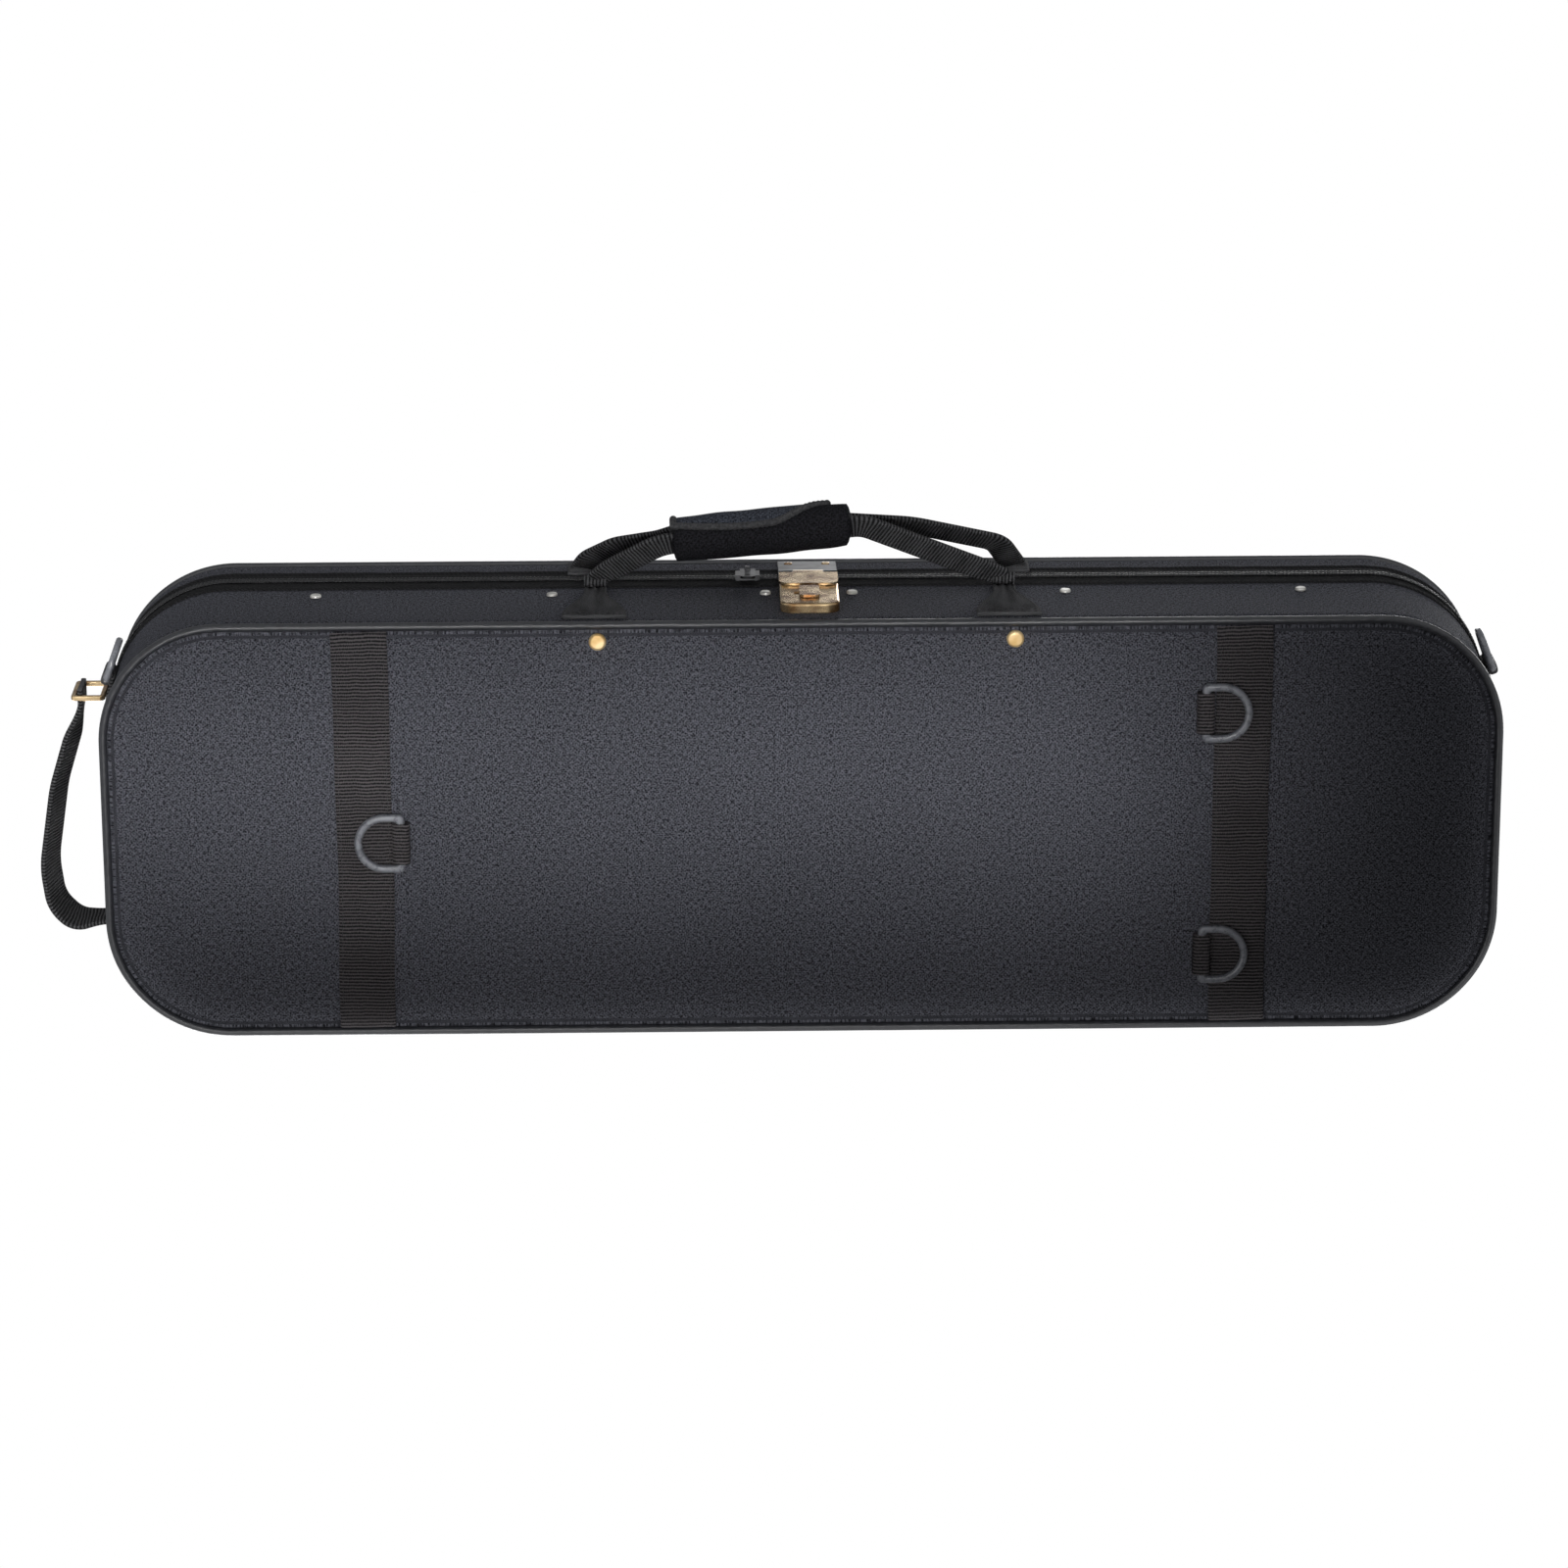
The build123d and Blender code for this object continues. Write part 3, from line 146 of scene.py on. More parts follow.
class Paint:
    """A procedural material: one Principled shader and the nodes that feed it."""

    def __init__(self, name, **plain):
        self.material = bpy.data.materials.new(name)
        self.material.use_nodes = True
        self.tree = self.material.node_tree
        self.shader = self.tree.nodes["Principled BSDF"]
        self.set(**plain)

    def _feed(self, socket, value):
        if isinstance(value, Wire):
            self.tree.links.new(value.socket, socket)
        else:
            socket.default_value = value

    def node(self, kind, settings=None, inputs=None, output=0):
        """A node of one kind: its settings first, then the values or links of its sockets."""
        made = self.tree.nodes.new(kind)
        for key, value in (settings or {}).items():
            setattr(made, key, value)
        for key, value in (inputs or {}).items():
            self._feed(made.inputs[key], value)
        return Wire(self, made.outputs[output])

    def set(self, **sockets):
        """Values or links for the shader's own sockets, named with _ for a space."""
        for key, value in sockets.items():
            self._feed(self.shader.inputs[key.replace("_", " ")], value)

    def mix(self, share, first, second):
        """From the first colour at share 0 to the second at 1."""
        return self.node("ShaderNodeMix", {"data_type": "RGBA"}, {0: share, 6: first, 7: second}, 2)

    def where(self, scale=(1, 1, 1), output="Object"):
        """A place on the piece, in metres times scale: on Object coordinates or the cloth map."""
        place = self.node("ShaderNodeTexCoord", output=output)
        return self.node("ShaderNodeMapping", None, {"Vector": place, "Scale": scale})

    def noise(self, place, scale, detail=2.0, rough=0.5):
        """Smooth noise from 0 to 1, whose grains get finer as the scale grows."""
        return self.node(
            "ShaderNodeTexNoise", None,
            {"Vector": place, "Scale": scale, "Detail": detail, "Roughness": rough},
        )

    def parts(self, place):
        """The first and second part of a place, as two numbers."""
        split = self.node("ShaderNodeSeparateXYZ", None, {0: place})
        node = split.socket.node
        return Wire(self, node.outputs[0]), Wire(self, node.outputs[1])

    def ramp(self, value, low, high):
        """0 below low, 1 above high, and smooth between."""
        return self.node(
            "ShaderNodeMapRange", {"interpolation_type": "SMOOTHSTEP"},
            {"Value": value, "From Min": low, "From Max": high},
        )

    def sine(self, value):
        """The sine of a number, from -1 to 1."""
        return self.node("ShaderNodeMath", {"operation": "SINE"}, {0: value})

    def bump(self, height, depth):
        """Relief as deep as depth, in metres, where the height goes from 0 to 1."""
        relief = self.node("ShaderNodeBump", None, {"Strength": 1.0, "Distance": depth, "Height": height})
        self.set(Normal=relief)


floor_level = cad_box[0].z - 0.0004
floor_mesh = bpy.data.meshes.new("floor")
floor_half, fade_from, fade_to = 2.6, 0.55, 2.3
floor_mesh.from_pydata(
    [(x, y, floor_level) for x, y in ((-1, -1), (1, -1), (1, 1), (-1, 1))], [], [(0, 1, 2, 3)]
)
floor_mesh.transform(Matrix.Diagonal((floor_half, floor_half, 1, 1)))
floor = bpy.data.objects.new("floor", floor_mesh)
bpy.context.scene.collection.objects.link(floor)
floor_paint = Paint("floor", Base_Color=(0.82, 0.82, 0.82, 1), Roughness=0.9)
behind = floor_paint.node("ShaderNodeNewGeometry", output="Backfacing")
away = floor_paint.node("ShaderNodeVectorMath", {"operation": "LENGTH"}, {0: floor_paint.where()}, 1)
distant = floor_paint.ramp(away, fade_from, fade_to)
faded = floor_paint.node("ShaderNodeMath", {"operation": "MAXIMUM"}, {0: behind, 1: distant})
clear = floor_paint.node("ShaderNodeBsdfTransparent")
floor_mix = floor_paint.node("ShaderNodeMixShader", None, {0: faded, 2: clear})
floor_paint.tree.links.new(floor_paint.shader.outputs[0], floor_mix.socket.node.inputs[1])
floor_paint.tree.links.new(floor_mix.socket, floor_paint.tree.nodes["Material Output"].inputs["Surface"])
floor.data.materials.append(floor_paint.material)
floor.visible_shadow = False

# The case's outline, which its cloth, cords, tapes and linings all follow: 800 by 246 mm with
# corners of 70 mm. The walls are 93 mm deep on the base and 43 mm on the lid. Sizes are in
# millimetres from here on, and a length along the outline starts at the middle of the spine.
MM = 0.001
half_length, half_width, corner = 400.0, 123.0, 70.0
seam, depth, edge = 93.0, 136.0, 10.0
front = -half_width
straight_x, straight_y = half_length - corner, half_width - corner
quarter = corner * pi / 2
knots = np.cumsum([0, straight_x, quarter, 2 * straight_y, quarter, 2 * straight_x, quarter,
                   2 * straight_y, quarter, straight_x])
knot_turn = np.radians([90, 90, 180, 180, 270, 270, 360, 360, 450, 450])
knot_x = np.array([0, -1, -1, -1, -1, 1, 1, 1, 1, 0]) * straight_x
knot_y = np.array([1, 1, 1, -1, -1, -1, -1, 1, 1, 1]) * straight_y
girth = knots[-1]


def rim(along, inset=0.0):
    """X and Y on the case's outline at a length along it from the middle of the spine, moved in
    by an inset: a corner's centre slides along the straights while the direction stays, and the
    direction turns at the corners while the centre stays. Past 60 mm both close on a line."""
    turn = np.interp(along, knots, knot_turn)
    inset = np.asarray(inset)
    inner = np.clip((inset - 60) / (half_width - 60), 0, 1)
    radius = np.where(inset < 60, corner - inset, (corner - 60) * (1 - inner))
    x = np.interp(along, knots, knot_x) + radius * np.cos(turn)
    y = np.interp(along, knots, knot_y) * (1 - inner) + radius * np.sin(turn)
    return x, y


def stops(first, last, coarse, fine):
    """Lengths along the outline from first to last: coarse steps on straights, fine at corners."""
    marks = [first, *[k for k in knots if first < k < last], last]
    runs = []
    for low, high in zip(marks[:-1], marks[1:]):
        turning = np.interp(low + 1e-3, knots, knot_turn) != np.interp(high - 1e-3, knots, knot_turn)
        count = max(2, int(np.ceil((high - low) / (fine if turning else coarse))) + 1)
        runs.append(np.linspace(low, high, count)[:-1])
    return np.concatenate([*runs, [last]])


# Covers: black woven nylon glued over the shells, one on the base and one on the lid. The cloth
# is padded a little, so it sinks beside the piping and lies not quite flat on the faces.


def rgb(red, green, blue):
    """An sRGB colour of 0 to 255 as the linear colour that a shader takes."""
    share = np.array((red, green, blue)) / 255
    linear = np.where(share <= 0.04045, share / 12.92, ((share + 0.055) / 1.055) ** 2.4)
    return (*linear.tolist(), 1.0)


def ripple(x, y, z, size, seed):
    """Slow, smooth unevenness from -1 to 1: three sine waves of unlike directions, added up."""
    turn = np.random.default_rng(seed).uniform(0, 2 * pi, (3, 4))
    total = 0
    for share, phases in zip((0.5, 0.3, 0.2), turn):
        a, b = np.cos(phases[0]), np.sin(phases[0])
        wave = np.sin((a * x + b * y) / size / share**0.5 + phases[1])
        total = total + share * wave * np.sin((b * x - a * y + z) / size + phases[2])
    return total


def smooth(value, low, high):
    """0 below low, 1 above high, with an even slope at both ends."""
    share = np.clip((value - low) / (high - low), 0, 1)
    return share * share * (3 - 2 * share)


def patch(x, y, z, u=None, v=None):
    """A grid of points in millimetres, rows by columns, with its cloth map in metres."""
    x, y, z = np.broadcast_arrays(x, y, z)
    points = np.stack([x, y, z], -1).astype(float)
    cloth = np.zeros(points.shape[:2] + (2,))
    if u is not None:
        cloth[..., 0], cloth[..., 1] = np.broadcast_arrays(u, v)
    return points * MM, cloth * MM


def piece(name, patches, paint, body, replaced=(), weld=2e-6):
    """One mesh from its patches: grid neighbours joined into quads, edges that meet welded, and
    the faces turned outward. It rides on a body and stands for the CAD nodes it replaces."""
    points, faces, cloth = [], [], []
    start = 0
    for grid, maps in patches:
        rows, columns = grid.shape[:2]
        index = start + np.arange(rows * columns).reshape(rows, columns)
        square = (index[:-1, :-1], index[:-1, 1:], index[1:, 1:], index[1:, :-1])
        faces.append(np.stack(square, -1).reshape(-1, 4))
        points.append(grid.reshape(-1, 3))
        cloth.append(maps.reshape(-1, 2))
        start += rows * columns
    points, faces, cloth = np.concatenate(points), np.concatenate(faces), np.concatenate(cloth)
    mesh = bpy.data.meshes.new(name)
    mesh.from_pydata(points.tolist(), [], faces.tolist())
    layer = mesh.uv_layers.new(name="cloth")
    layer.data.foreach_set("uv", cloth[faces.reshape(-1)].astype(np.float32).ravel())
    shape = bmesh.new()
    shape.from_mesh(mesh)
    bmesh.ops.remove_doubles(shape, verts=shape.verts, dist=weld)
    bmesh.ops.dissolve_degenerate(shape, edges=shape.edges, dist=weld / 2)
    bmesh.ops.recalc_face_normals(shape, faces=shape.faces)
    shape.to_mesh(mesh)
    shape.free()
    mesh.polygons.foreach_set("use_smooth", [True] * len(mesh.polygons))
    made = bpy.data.objects.new(name, mesh)
    bpy.context.scene.collection.objects.link(made)
    mesh.materials.append(paint.material)
    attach(made, body)
    if replaced:
        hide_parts(*replaced)
    return made


def woven_nylon(name, light, dark, thread=1.05):
    """Plain weave on the cloth map: warp and weft bars cross, and thick threads fleck it."""
    paint = Paint(name, Specular_IOR_Level=0.06)
    across, along = paint.parts(paint.where((1000 / thread * pi,) * 3, "UV"))
    weave = paint.sine(across) * paint.sine(along)
    fleck = paint.noise(paint.where((1, 1, 1), "UV"), 900, 2, 0.6)
    warp = paint.noise(paint.where((1500, 460, 1), "UV"), 1.0, 1)
    weft = paint.noise(paint.where((460, 1500, 1), "UV"), 1.0, 1)
    cloud = paint.noise(paint.where(), 9, 2)
    tone = paint.ramp(fleck * 0.3 + warp * 0.37 + weft * 0.37 + weave * 0.04, 0.38, 0.66)
    paint.set(
        Base_Color=paint.mix(tone * 0.88 + cloud * 0.12, dark, light),
        Roughness=paint.ramp(fleck, 0.2, 0.9) * 0.15 + 0.75,
    )
    paint.bump(weave * 0.25 + fleck * 0.8 + warp * 0.5 + weft * 0.5, 0.0004)
    return paint


cover_cloth = woven_nylon("cover_cloth", rgb(104, 105, 113), rgb(9, 9, 12))
cover_wall = 1.2
zip_end, tape_reach = 40.0, 18.0
base_tape_low, lid_tape_high = seam - tape_reach, seam + tape_reach
run_first = knots[2] + (straight_y - zip_end)
run_last = girth - run_first


def edge_rows(radius, turns):
    """Inset and depth on an arc round the centre of the case's edge, by the turn from the face."""
    return [(edge - radius * sin(turn), edge - radius * cos(turn)) for turn in turns]


def cover_patches(outward, wall_top, seed):
    """The cover: inner face, round the inner edge, up the wall, over the rim, down the outside,
    round the outer edge and across the face. Depth w counts from the outer face; outward is 1
    where that face is the underside and -1 where it is the lid's top."""
    tape_ends = [run_first - 0.12, run_first - 0.08, run_last + 0.08, run_last + 0.12]
    along = np.sort(np.concatenate([stops(0, girth, 7, 3.2), tape_ends]))[None, :]
    turn = np.linspace(0, pi / 2, 9)
    inner = [(i, cover_wall) for i in (half_width, 110, 85, 60, 35, 18, edge)]
    face_stops = (11.5, 13, 15, 17.5, 21, 26, 32, 40, 50, 60, 72, 85, 98, 110, 118, half_width)
    rows_in = np.array(inner + edge_rows(edge - cover_wall, turn[1:]))
    rows_out = np.array(edge_rows(edge, turn[::-1]) + [(i, 0) for i in face_stops])
    lift = np.linspace(0, 1, 22)[1:]
    top = wall_top(rim(along)[1])
    inset = np.concatenate([
        np.repeat(rows_in[:, :1], along.size, 1), np.full((lift.size, along.size), cover_wall),
        np.zeros((lift.size, along.size)), np.repeat(rows_out[:, :1], along.size, 1),
    ])
    wall = edge + lift[:, None] * (top - edge)
    w = np.concatenate([
        np.repeat(rows_in[:, 1:], along.size, 1), wall,
        wall[::-1], np.repeat(rows_out[:, 1:], along.size, 1),
    ])
    outside = np.arange(len(w))[:, None] >= len(rows_in) + lift.size
    x, y = rim(along, inset)
    uneven = 0.5 + 0.5 * ripple(x, y, w, 38, seed)
    face = outside & (inset > edge - 0.1)
    side = outside & ~face & (inset < 0.01)
    sunk = 1.1 * smooth(inset, 4.5, 8) * (1 - smooth(inset, 8, 38))
    pillow = sunk + 0.4 * uneven * smooth(inset, 14, 40)
    w = w + np.where(outside & (inset > 4), pillow, 0)
    belly = (0.25 + 0.35 * uneven) * smooth(w, edge, edge + 12) * (1 - smooth(w, top - 9, top - 1))
    x, y = rim(along, inset + np.where(side, belly, 0))
    flat = inset > edge - 3
    u = np.where(flat, x, along)
    v = np.where(flat, y, w + 500)
    z = w if outward > 0 else depth - w
    return [patch(x, y, z, u, v)]


def base_top(y):
    """Height of the base cover's edge: under the tape, or at the seam behind the tape's end."""
    return np.where(y < zip_end + 0.1, base_tape_low - 0.05, seam - 0.25)


def lid_top(y):
    """The same for the lid's cover, as a depth below the lid's top."""
    return np.where(y < zip_end + 0.1, depth - lid_tape_high - 0.05, depth - seam - 0.25)


piece("base_cover_cloth", cover_patches(1, base_top, 3), cover_cloth, "base", ["base_cover"])
piece("lid_cover_cloth", cover_patches(-1, lid_top, 5), cover_cloth, "lid", ["lid_cover"])

# Piping: a cord in a smooth vinyl binding, sewn into the edge of each cover. It is greyer and
# smoother than the cloth and takes a light line along its whole length.
piping_paint = Paint("piping", Specular_IOR_Level=0.6, Coat_Weight=0.5, Coat_Roughness=0.2)
piping_place = piping_paint.where((1, 1, 1), "UV")
piping_scuff = piping_paint.noise(piping_place, 240, 3, 0.6)
piping_paint.set(
    Base_Color=piping_paint.mix(piping_scuff, rgb(22, 23, 26), rgb(60, 61, 66)),
    Roughness=piping_scuff * 0.25 + 0.25,
)
piping_paint.bump(piping_scuff + piping_paint.noise(piping_place, 60, 2) * 2, 0.0003)
piping_radius = 2.5
piping_inset = edge * (1 - cos(pi / 4)) - (piping_radius - 0.8) * cos(pi / 4)


def piping_patches(outward, seed):
    """A tube along the outline, with a slow wander of its radius."""
    along = stops(0, girth, 4, 2)[None, :]
    turn = np.linspace(0, 2 * pi, 21)[:, None]
    x, y = rim(along, piping_inset)
    radius = piping_radius * (1 - 0.04 * (0.5 + 0.5 * ripple(x, y, 0, 11, seed)))
    x, y = rim(along, piping_inset - radius * np.cos(turn))
    w = piping_inset + radius * np.sin(turn)
    return [patch(x, y, w if outward > 0 else depth - w, along, turn * piping_radius)]


piece("base_piping_cord", piping_patches(1, 11), piping_paint, "base", ["base_piping"])
piece("lid_piping_cord", piping_patches(-1, 12), piping_paint, "lid", ["lid_piping"])

# Zipper: two woven tapes sewn round the front and both ends, each with a coil along the rim. The
# tapes are folded under at their sewn edge and pucker between the stitches.
tape_paint = Paint("zip_tape", Specular_IOR_Level=0.2)
tape_across, tape_along = tape_paint.parts(tape_paint.where((1000 * pi / 1.3,) * 3, "UV"))
tape_twill = tape_paint.sine(tape_across + tape_along)
tape_grain = tape_paint.noise(tape_paint.where((1, 1, 1), "UV"), 500, 2)
tape_paint.set(
    Base_Color=tape_paint.mix(tape_grain * 0.7 + tape_twill * 0.15, rgb(8, 8, 9), rgb(46, 46, 48)),
    Roughness=tape_grain * 0.2 + 0.7,
)
tape_paint.bump(tape_twill * 0.5 + tape_grain, 0.0004)
tape_wall = 1.2


def tape_patches(low, high, hem_at_low, seed):
    """A band between two heights: its outer face carries the folded hem, a sewn groove, and a
    braid of raised stitches; its inner face is plain."""
    along = stops(run_first, run_last, 1.1, 1.1)[None, :]
    share = np.linspace(0, 1, 25)[:, None]
    hem = share if hem_at_low else 1 - share
    braid = np.abs(np.sin(along * pi / 5.2 + 2.2 * np.sin(hem * pi * 3)))
    swell = 0.85 * np.exp(-((hem - 0.08) / 0.07) ** 2) - 0.35 * np.exp(-((hem - 0.2) / 0.04) ** 2)
    swell = swell + 0.5 * braid * np.exp(-((hem - 0.62) / 0.2) ** 2)
    pucker = 0.25 * ripple(along, hem * 18, 0, 4.5, seed)
    out = np.where((share > 0) & (share < 1), 0.15 + swell + pucker, 0)
    height = low + share * (high - low)
    height = height + 0.3 * np.where((share > 0) & (share < 1), ripple(along, 0, 0, 9, seed + 1), 0)
    loop_inset = np.concatenate([-out, np.full_like(out, tape_wall)[::-1], -out[:1]])
    loop_z = np.concatenate([height, (height + 0 * along)[::-1], height[:1]])
    loop_z = np.broadcast_to(loop_z, loop_inset.shape)
    x, y = rim(along, loop_inset)
    grid = patch(x, y, loop_z, along, loop_z)
    caps = [patch(x[:, [c, c]] + [[0, 0]], np.stack([y[:, c], np.full(len(y), y[:, c].mean())], 1),
                  np.stack([loop_z[:, c], np.full(len(y), loop_z[:, c].mean())], 1), 0, 0) for c in (0, -1)]
    return [grid, *caps]


base_tape = tape_patches(base_tape_low, seam - 0.25, True, 21)
lid_tape = tape_patches(seam + 0.25, lid_tape_high, False, 23)
piece("base_tape", base_tape, tape_paint, "base", ["base_zip_tape"])
piece("lid_tape", lid_tape, tape_paint, "lid", ["lid_zip_tape"])


def grained(name, dark, light, depth, stretch=(1, 1, 1), scale=1.0, detail=2, crisp=0.5, rough=None, **plain):
    """A material with one grain, which mixes its two tones and raises its surface. Where rough is
    given, the grain roughens it too."""
    paint = Paint(name, **plain)
    grain = paint.noise(paint.where(stretch), scale, detail, crisp)
    paint.set(Base_Color=paint.mix(grain, rgb(*dark), rgb(*light)))
    if rough is not None:
        paint.set(Roughness=grain * 0.2 + rough)
    paint.bump(grain, depth)
    return paint


coil_paint = grained("zip_coil", (14, 14, 15), (40, 40, 42), 0.0002, scale=900, Roughness=0.4)


def coil_patches(middle):
    """A moulded coil: a half-round bead along the rim whose slanted turns stand out from it."""
    along = stops(run_first, run_last, 0.55, 0.55)[None, :]
    turn = np.linspace(0, 2 * pi, 13)[:, None]
    turns = 0.5 + 0.5 * np.sin(2 * pi * along / 2.2 + turn)
    size = 0.62 + 0.38 * turns
    x, y = rim(along, -0.92 - 0.86 * size * np.cos(turn))
    z = middle + 1.6 * size * np.sin(turn)
    grid = patch(x, y, z, along, turn)
    caps = [patch(np.stack([x[:, c], np.full(13, x[:, c].mean())], 1),
                  np.stack([y[:, c], np.full(13, y[:, c].mean())], 1),
                  np.stack([z[:, c], np.full(13, middle)], 1)) for c in (0, -1)]
    return [grid, *caps]


piece("base_coil", coil_patches(seam - 1.85), coil_paint, "base", ["base_zip_coil"])
piece("lid_coil", coil_patches(seam + 1.85), coil_paint, "lid", ["lid_zip_coil"])

# Webbing bands: two strips of ribbed nylon webbing run across the underside and bend up a little
# at both edges, with a row of stitches along each side. The same webbing makes the ring tabs, the
# end strips and every handle.


def ribbed(name, light, dark):
    """Ribbed webbing: dark furrows between the ribs, one in every 2 mm of the cloth map's length,
    broken by yarns that lie across them. The furrows' darkness is painted shade in the low lines of the
    relief."""
    paint = Paint(name, Specular_IOR_Level=0.25)
    _, along = paint.parts(paint.where((1, 1000 * pi / 2.0, 1), "UV"))
    wave = paint.noise(paint.where((90, 30, 1), "UV"), 1.0, 2)
    furrow = paint.sine(along + wave * 2.5)
    furrow = furrow * furrow
    yarn = paint.noise(paint.where((1700, 500, 1), "UV"), 1.0, 2, 0.6)
    # The furrows are painted darker than the ribs: painted shade where the relief is low.
    tone = paint.ramp(furrow * 0.45 + yarn * 0.75, 0.35, 0.9)
    paint.set(Base_Color=paint.mix(tone, dark, light), Roughness=yarn * 0.2 + 0.7)
    paint.bump(yarn + furrow * 0.6, 0.0006)
    return paint


webbing_paint = ribbed("webbing", rgb(92, 88, 90), rgb(12, 12, 13))
handle_webbing = ribbed("handle_webbing", rgb(90, 90, 92), rgb(7, 7, 8))


def unit(vectors):
    """The same directions, each one long."""
    return vectors / np.linalg.norm(vectors, axis=-1, keepdims=True)


def run_along(path):
    """How far along a path each of its points lies: the sum of the steps before it."""
    return np.concatenate([[0], np.cumsum(np.linalg.norm(np.diff(path, axis=0), axis=1))])


def points_at(run, path, lengths):
    """The points of a path at these lengths along it, between its own points."""
    return np.stack([np.interp(lengths, run, column) for column in path.T], 1)


def straight(start, direction, steps):
    """Points that lie these steps from a start, all in one direction."""
    return np.array(start, float) + np.outer(steps, direction)


def bulged(turn, power):
    """A circle pressed toward a square: the cosine and the sine of the turn, each raised to a
    power below 1 with its sign kept."""
    return tuple(np.sign(wave) * np.abs(wave) ** power for wave in (np.cos(turn), np.sin(turn)))


def rounded(points, radii, step=0.35):
    """Points at even steps along a polyline whose corners are rounded by these radii."""
    points = [np.array(p, float) for p in points]
    line = [points[0]]
    for before, here, after, radius in zip(points[:-2], points[1:-1], points[2:], radii):
        back, on = before - here, after - here
        back, on = unit(back), unit(on)
        half = np.arccos(np.clip(back @ on, -1, 1)) / 2
        reach = radius / np.tan(half)
        middle = here + unit(back + on) * radius / np.sin(half)
        first, last = here + back * reach - middle, here + on * reach - middle
        for share in np.linspace(0, 1, 15):
            line.append(middle + unit(first * (1 - share) + last * share) * radius)
    line.append(points[-1])
    line = np.array(line)
    run = run_along(line)
    even = np.linspace(0, run[-1], max(3, int(run[-1] / step)))
    return points_at(run, line, even), even


def held(rows):
    """The rows with the first and the last one doubled."""
    return np.concatenate([rows[:1], rows, rows[-1:]])


def drawn(rows, middle):
    """The rows between two more that lie at a middle, where both ends draw together and close."""
    end = np.full_like(rows[:1], middle)
    return np.concatenate([end, rows, end])


def strip(path, length, across, width, thickness, pitch=2.0, rib=0.28, flat=9, swell=None):
    """A woven strip along a path. At each step a flat loop with round edges stands square to the
    path; the ribs raise both broad sides, and swell adds to the height over (step, side)."""
    path, across = np.asarray(path, float), np.broadcast_to(np.asarray(across, float), np.shape(path))
    tangent = unit(np.gradient(path, axis=0))
    across = unit(across - tangent * (across * tangent).sum(1, keepdims=True))
    normal = np.cross(tangent, across)
    width = np.broadcast_to(width, length.shape)[:, None]
    thickness = np.broadcast_to(thickness, length.shape)[:, None]
    share = np.linspace(-1, 1, flat)
    turn = np.linspace(-pi / 2, pi / 2, 6)[1:-1]
    side = np.concatenate([share, np.ones(4), share[::-1], -np.ones(4), share[:1]])
    bulge = np.concatenate([np.zeros(flat), np.cos(turn), np.zeros(flat), -np.cos(turn), [0]])
    up = np.concatenate([-np.ones(flat), np.sin(turn), np.ones(flat), -np.sin(turn), [-1]])
    broad = np.concatenate([np.ones(flat), np.zeros(4), np.ones(flat), np.zeros(4), [1]])
    broad = broad * (np.abs(side) < 0.98)
    ribs = rib * (np.abs(np.sin(pi * length / pitch))[:, None] - 0.6) * broad[None, :]
    height = up[None, :] * (thickness / 2 + ribs - rib * 0.4 * broad)
    if swell is not None:
        height = height + np.where(up > 0, 1, 0)[None, :] * broad * swell(length[:, None], side[None, :])
    reach = side[None, :] * (width / 2 - thickness / 2) + bulge[None, :] * thickness / 2
    points = path[:, None, :] + across[:, None, :] * reach[..., None]
    points = points + normal[:, None, :] * height[..., None]
    first, last = path[:1, None, :] + 0 * points[:1], path[-1:, None, :] + 0 * points[-1:]
    points = np.concatenate([first, points, last])
    u, v = held(reach) + (up > 0)[None, :] * 200, held(length)[:, None]
    return patch(*np.moveaxis(points, -1, 0), u, v)


def stitches(path, normal, pitch=3.2, length=2.2, radius=0.28):
    """A row of thread stitches along a path: low beads, each half sunk in the cloth."""
    run = run_along(path)
    count = max(1, int(run[-1] / pitch))
    middles = (np.arange(count) + 0.5) * run[-1] / count
    at = points_at(run, path, middles)
    ahead = unit(points_at(run, path, middles + 0.2) - points_at(run, path, middles - 0.2))
    normal = np.broadcast_to(np.asarray(normal, float), at.shape)
    aside = np.cross(ahead, normal)
    ring = np.linspace(0, 2 * pi, 7)
    beads = []
    for share, size in ((-1, 0), (-0.8, 0.7), (0, 1), (0.8, 0.7), (1, 0)):
        spot = at + ahead * share * length / 2
        level = aside[:, None, :] * np.cos(ring)[None, :, None]
        raised = normal[:, None, :] * np.sin(ring)[None, :, None]
        beads.append(spot[:, None, :] + radius * size * (level + raised))
    beads = np.stack(beads, 1)
    return [patch(*np.moveaxis(bead, -1, 0)) for bead in beads]


thread_paint = grained(
    "thread", (22, 22, 24), (60, 60, 62), 0.0001, scale=1500, Roughness=0.6, Specular_IOR_Level=0.4,
)

band_x, band_width, band_thickness = 251.0, 32.0, 2.0
flat_end = half_width - edge
bend_radius, band_end = edge + 1.05, 4.6
curl = np.linspace(np.arcsin((edge - band_end) / bend_radius), 0, 12)
band_arc = np.stack([-(flat_end + bend_radius * np.sin(curl)), edge - bend_radius * np.cos(curl)], 1)
band_line = np.concatenate([band_arc, band_arc[::-1] * [-1, 1]])
band_run = run_along(band_line)
band_steps = np.arange(0, band_run[-1], 0.34)
band_y, band_z = points_at(band_run, band_line, band_steps).T
bands, band_stitches = [], []
for side in (-1, 1):
    wander = 0.5 * np.sin(band_steps / 47 + side) + 0.3 * np.sin(band_steps / 19)
    path = np.stack([side * band_x + wander, band_y, band_z], 1)
    bands.append(strip(path, band_steps, (1, 0, 0), band_width, band_thickness, 2.05, 0.32, 13))
    for edge_side in (-1, 1):
        seam_line = path + [edge_side * (band_width / 2 - 2.2), 0, -band_thickness / 2 - 0.12]
        band_stitches += stitches(seam_line[40:-40], (0, 0, -1))
piece("band_webbing", bands, webbing_paint, "base", ["webbing_bands"])
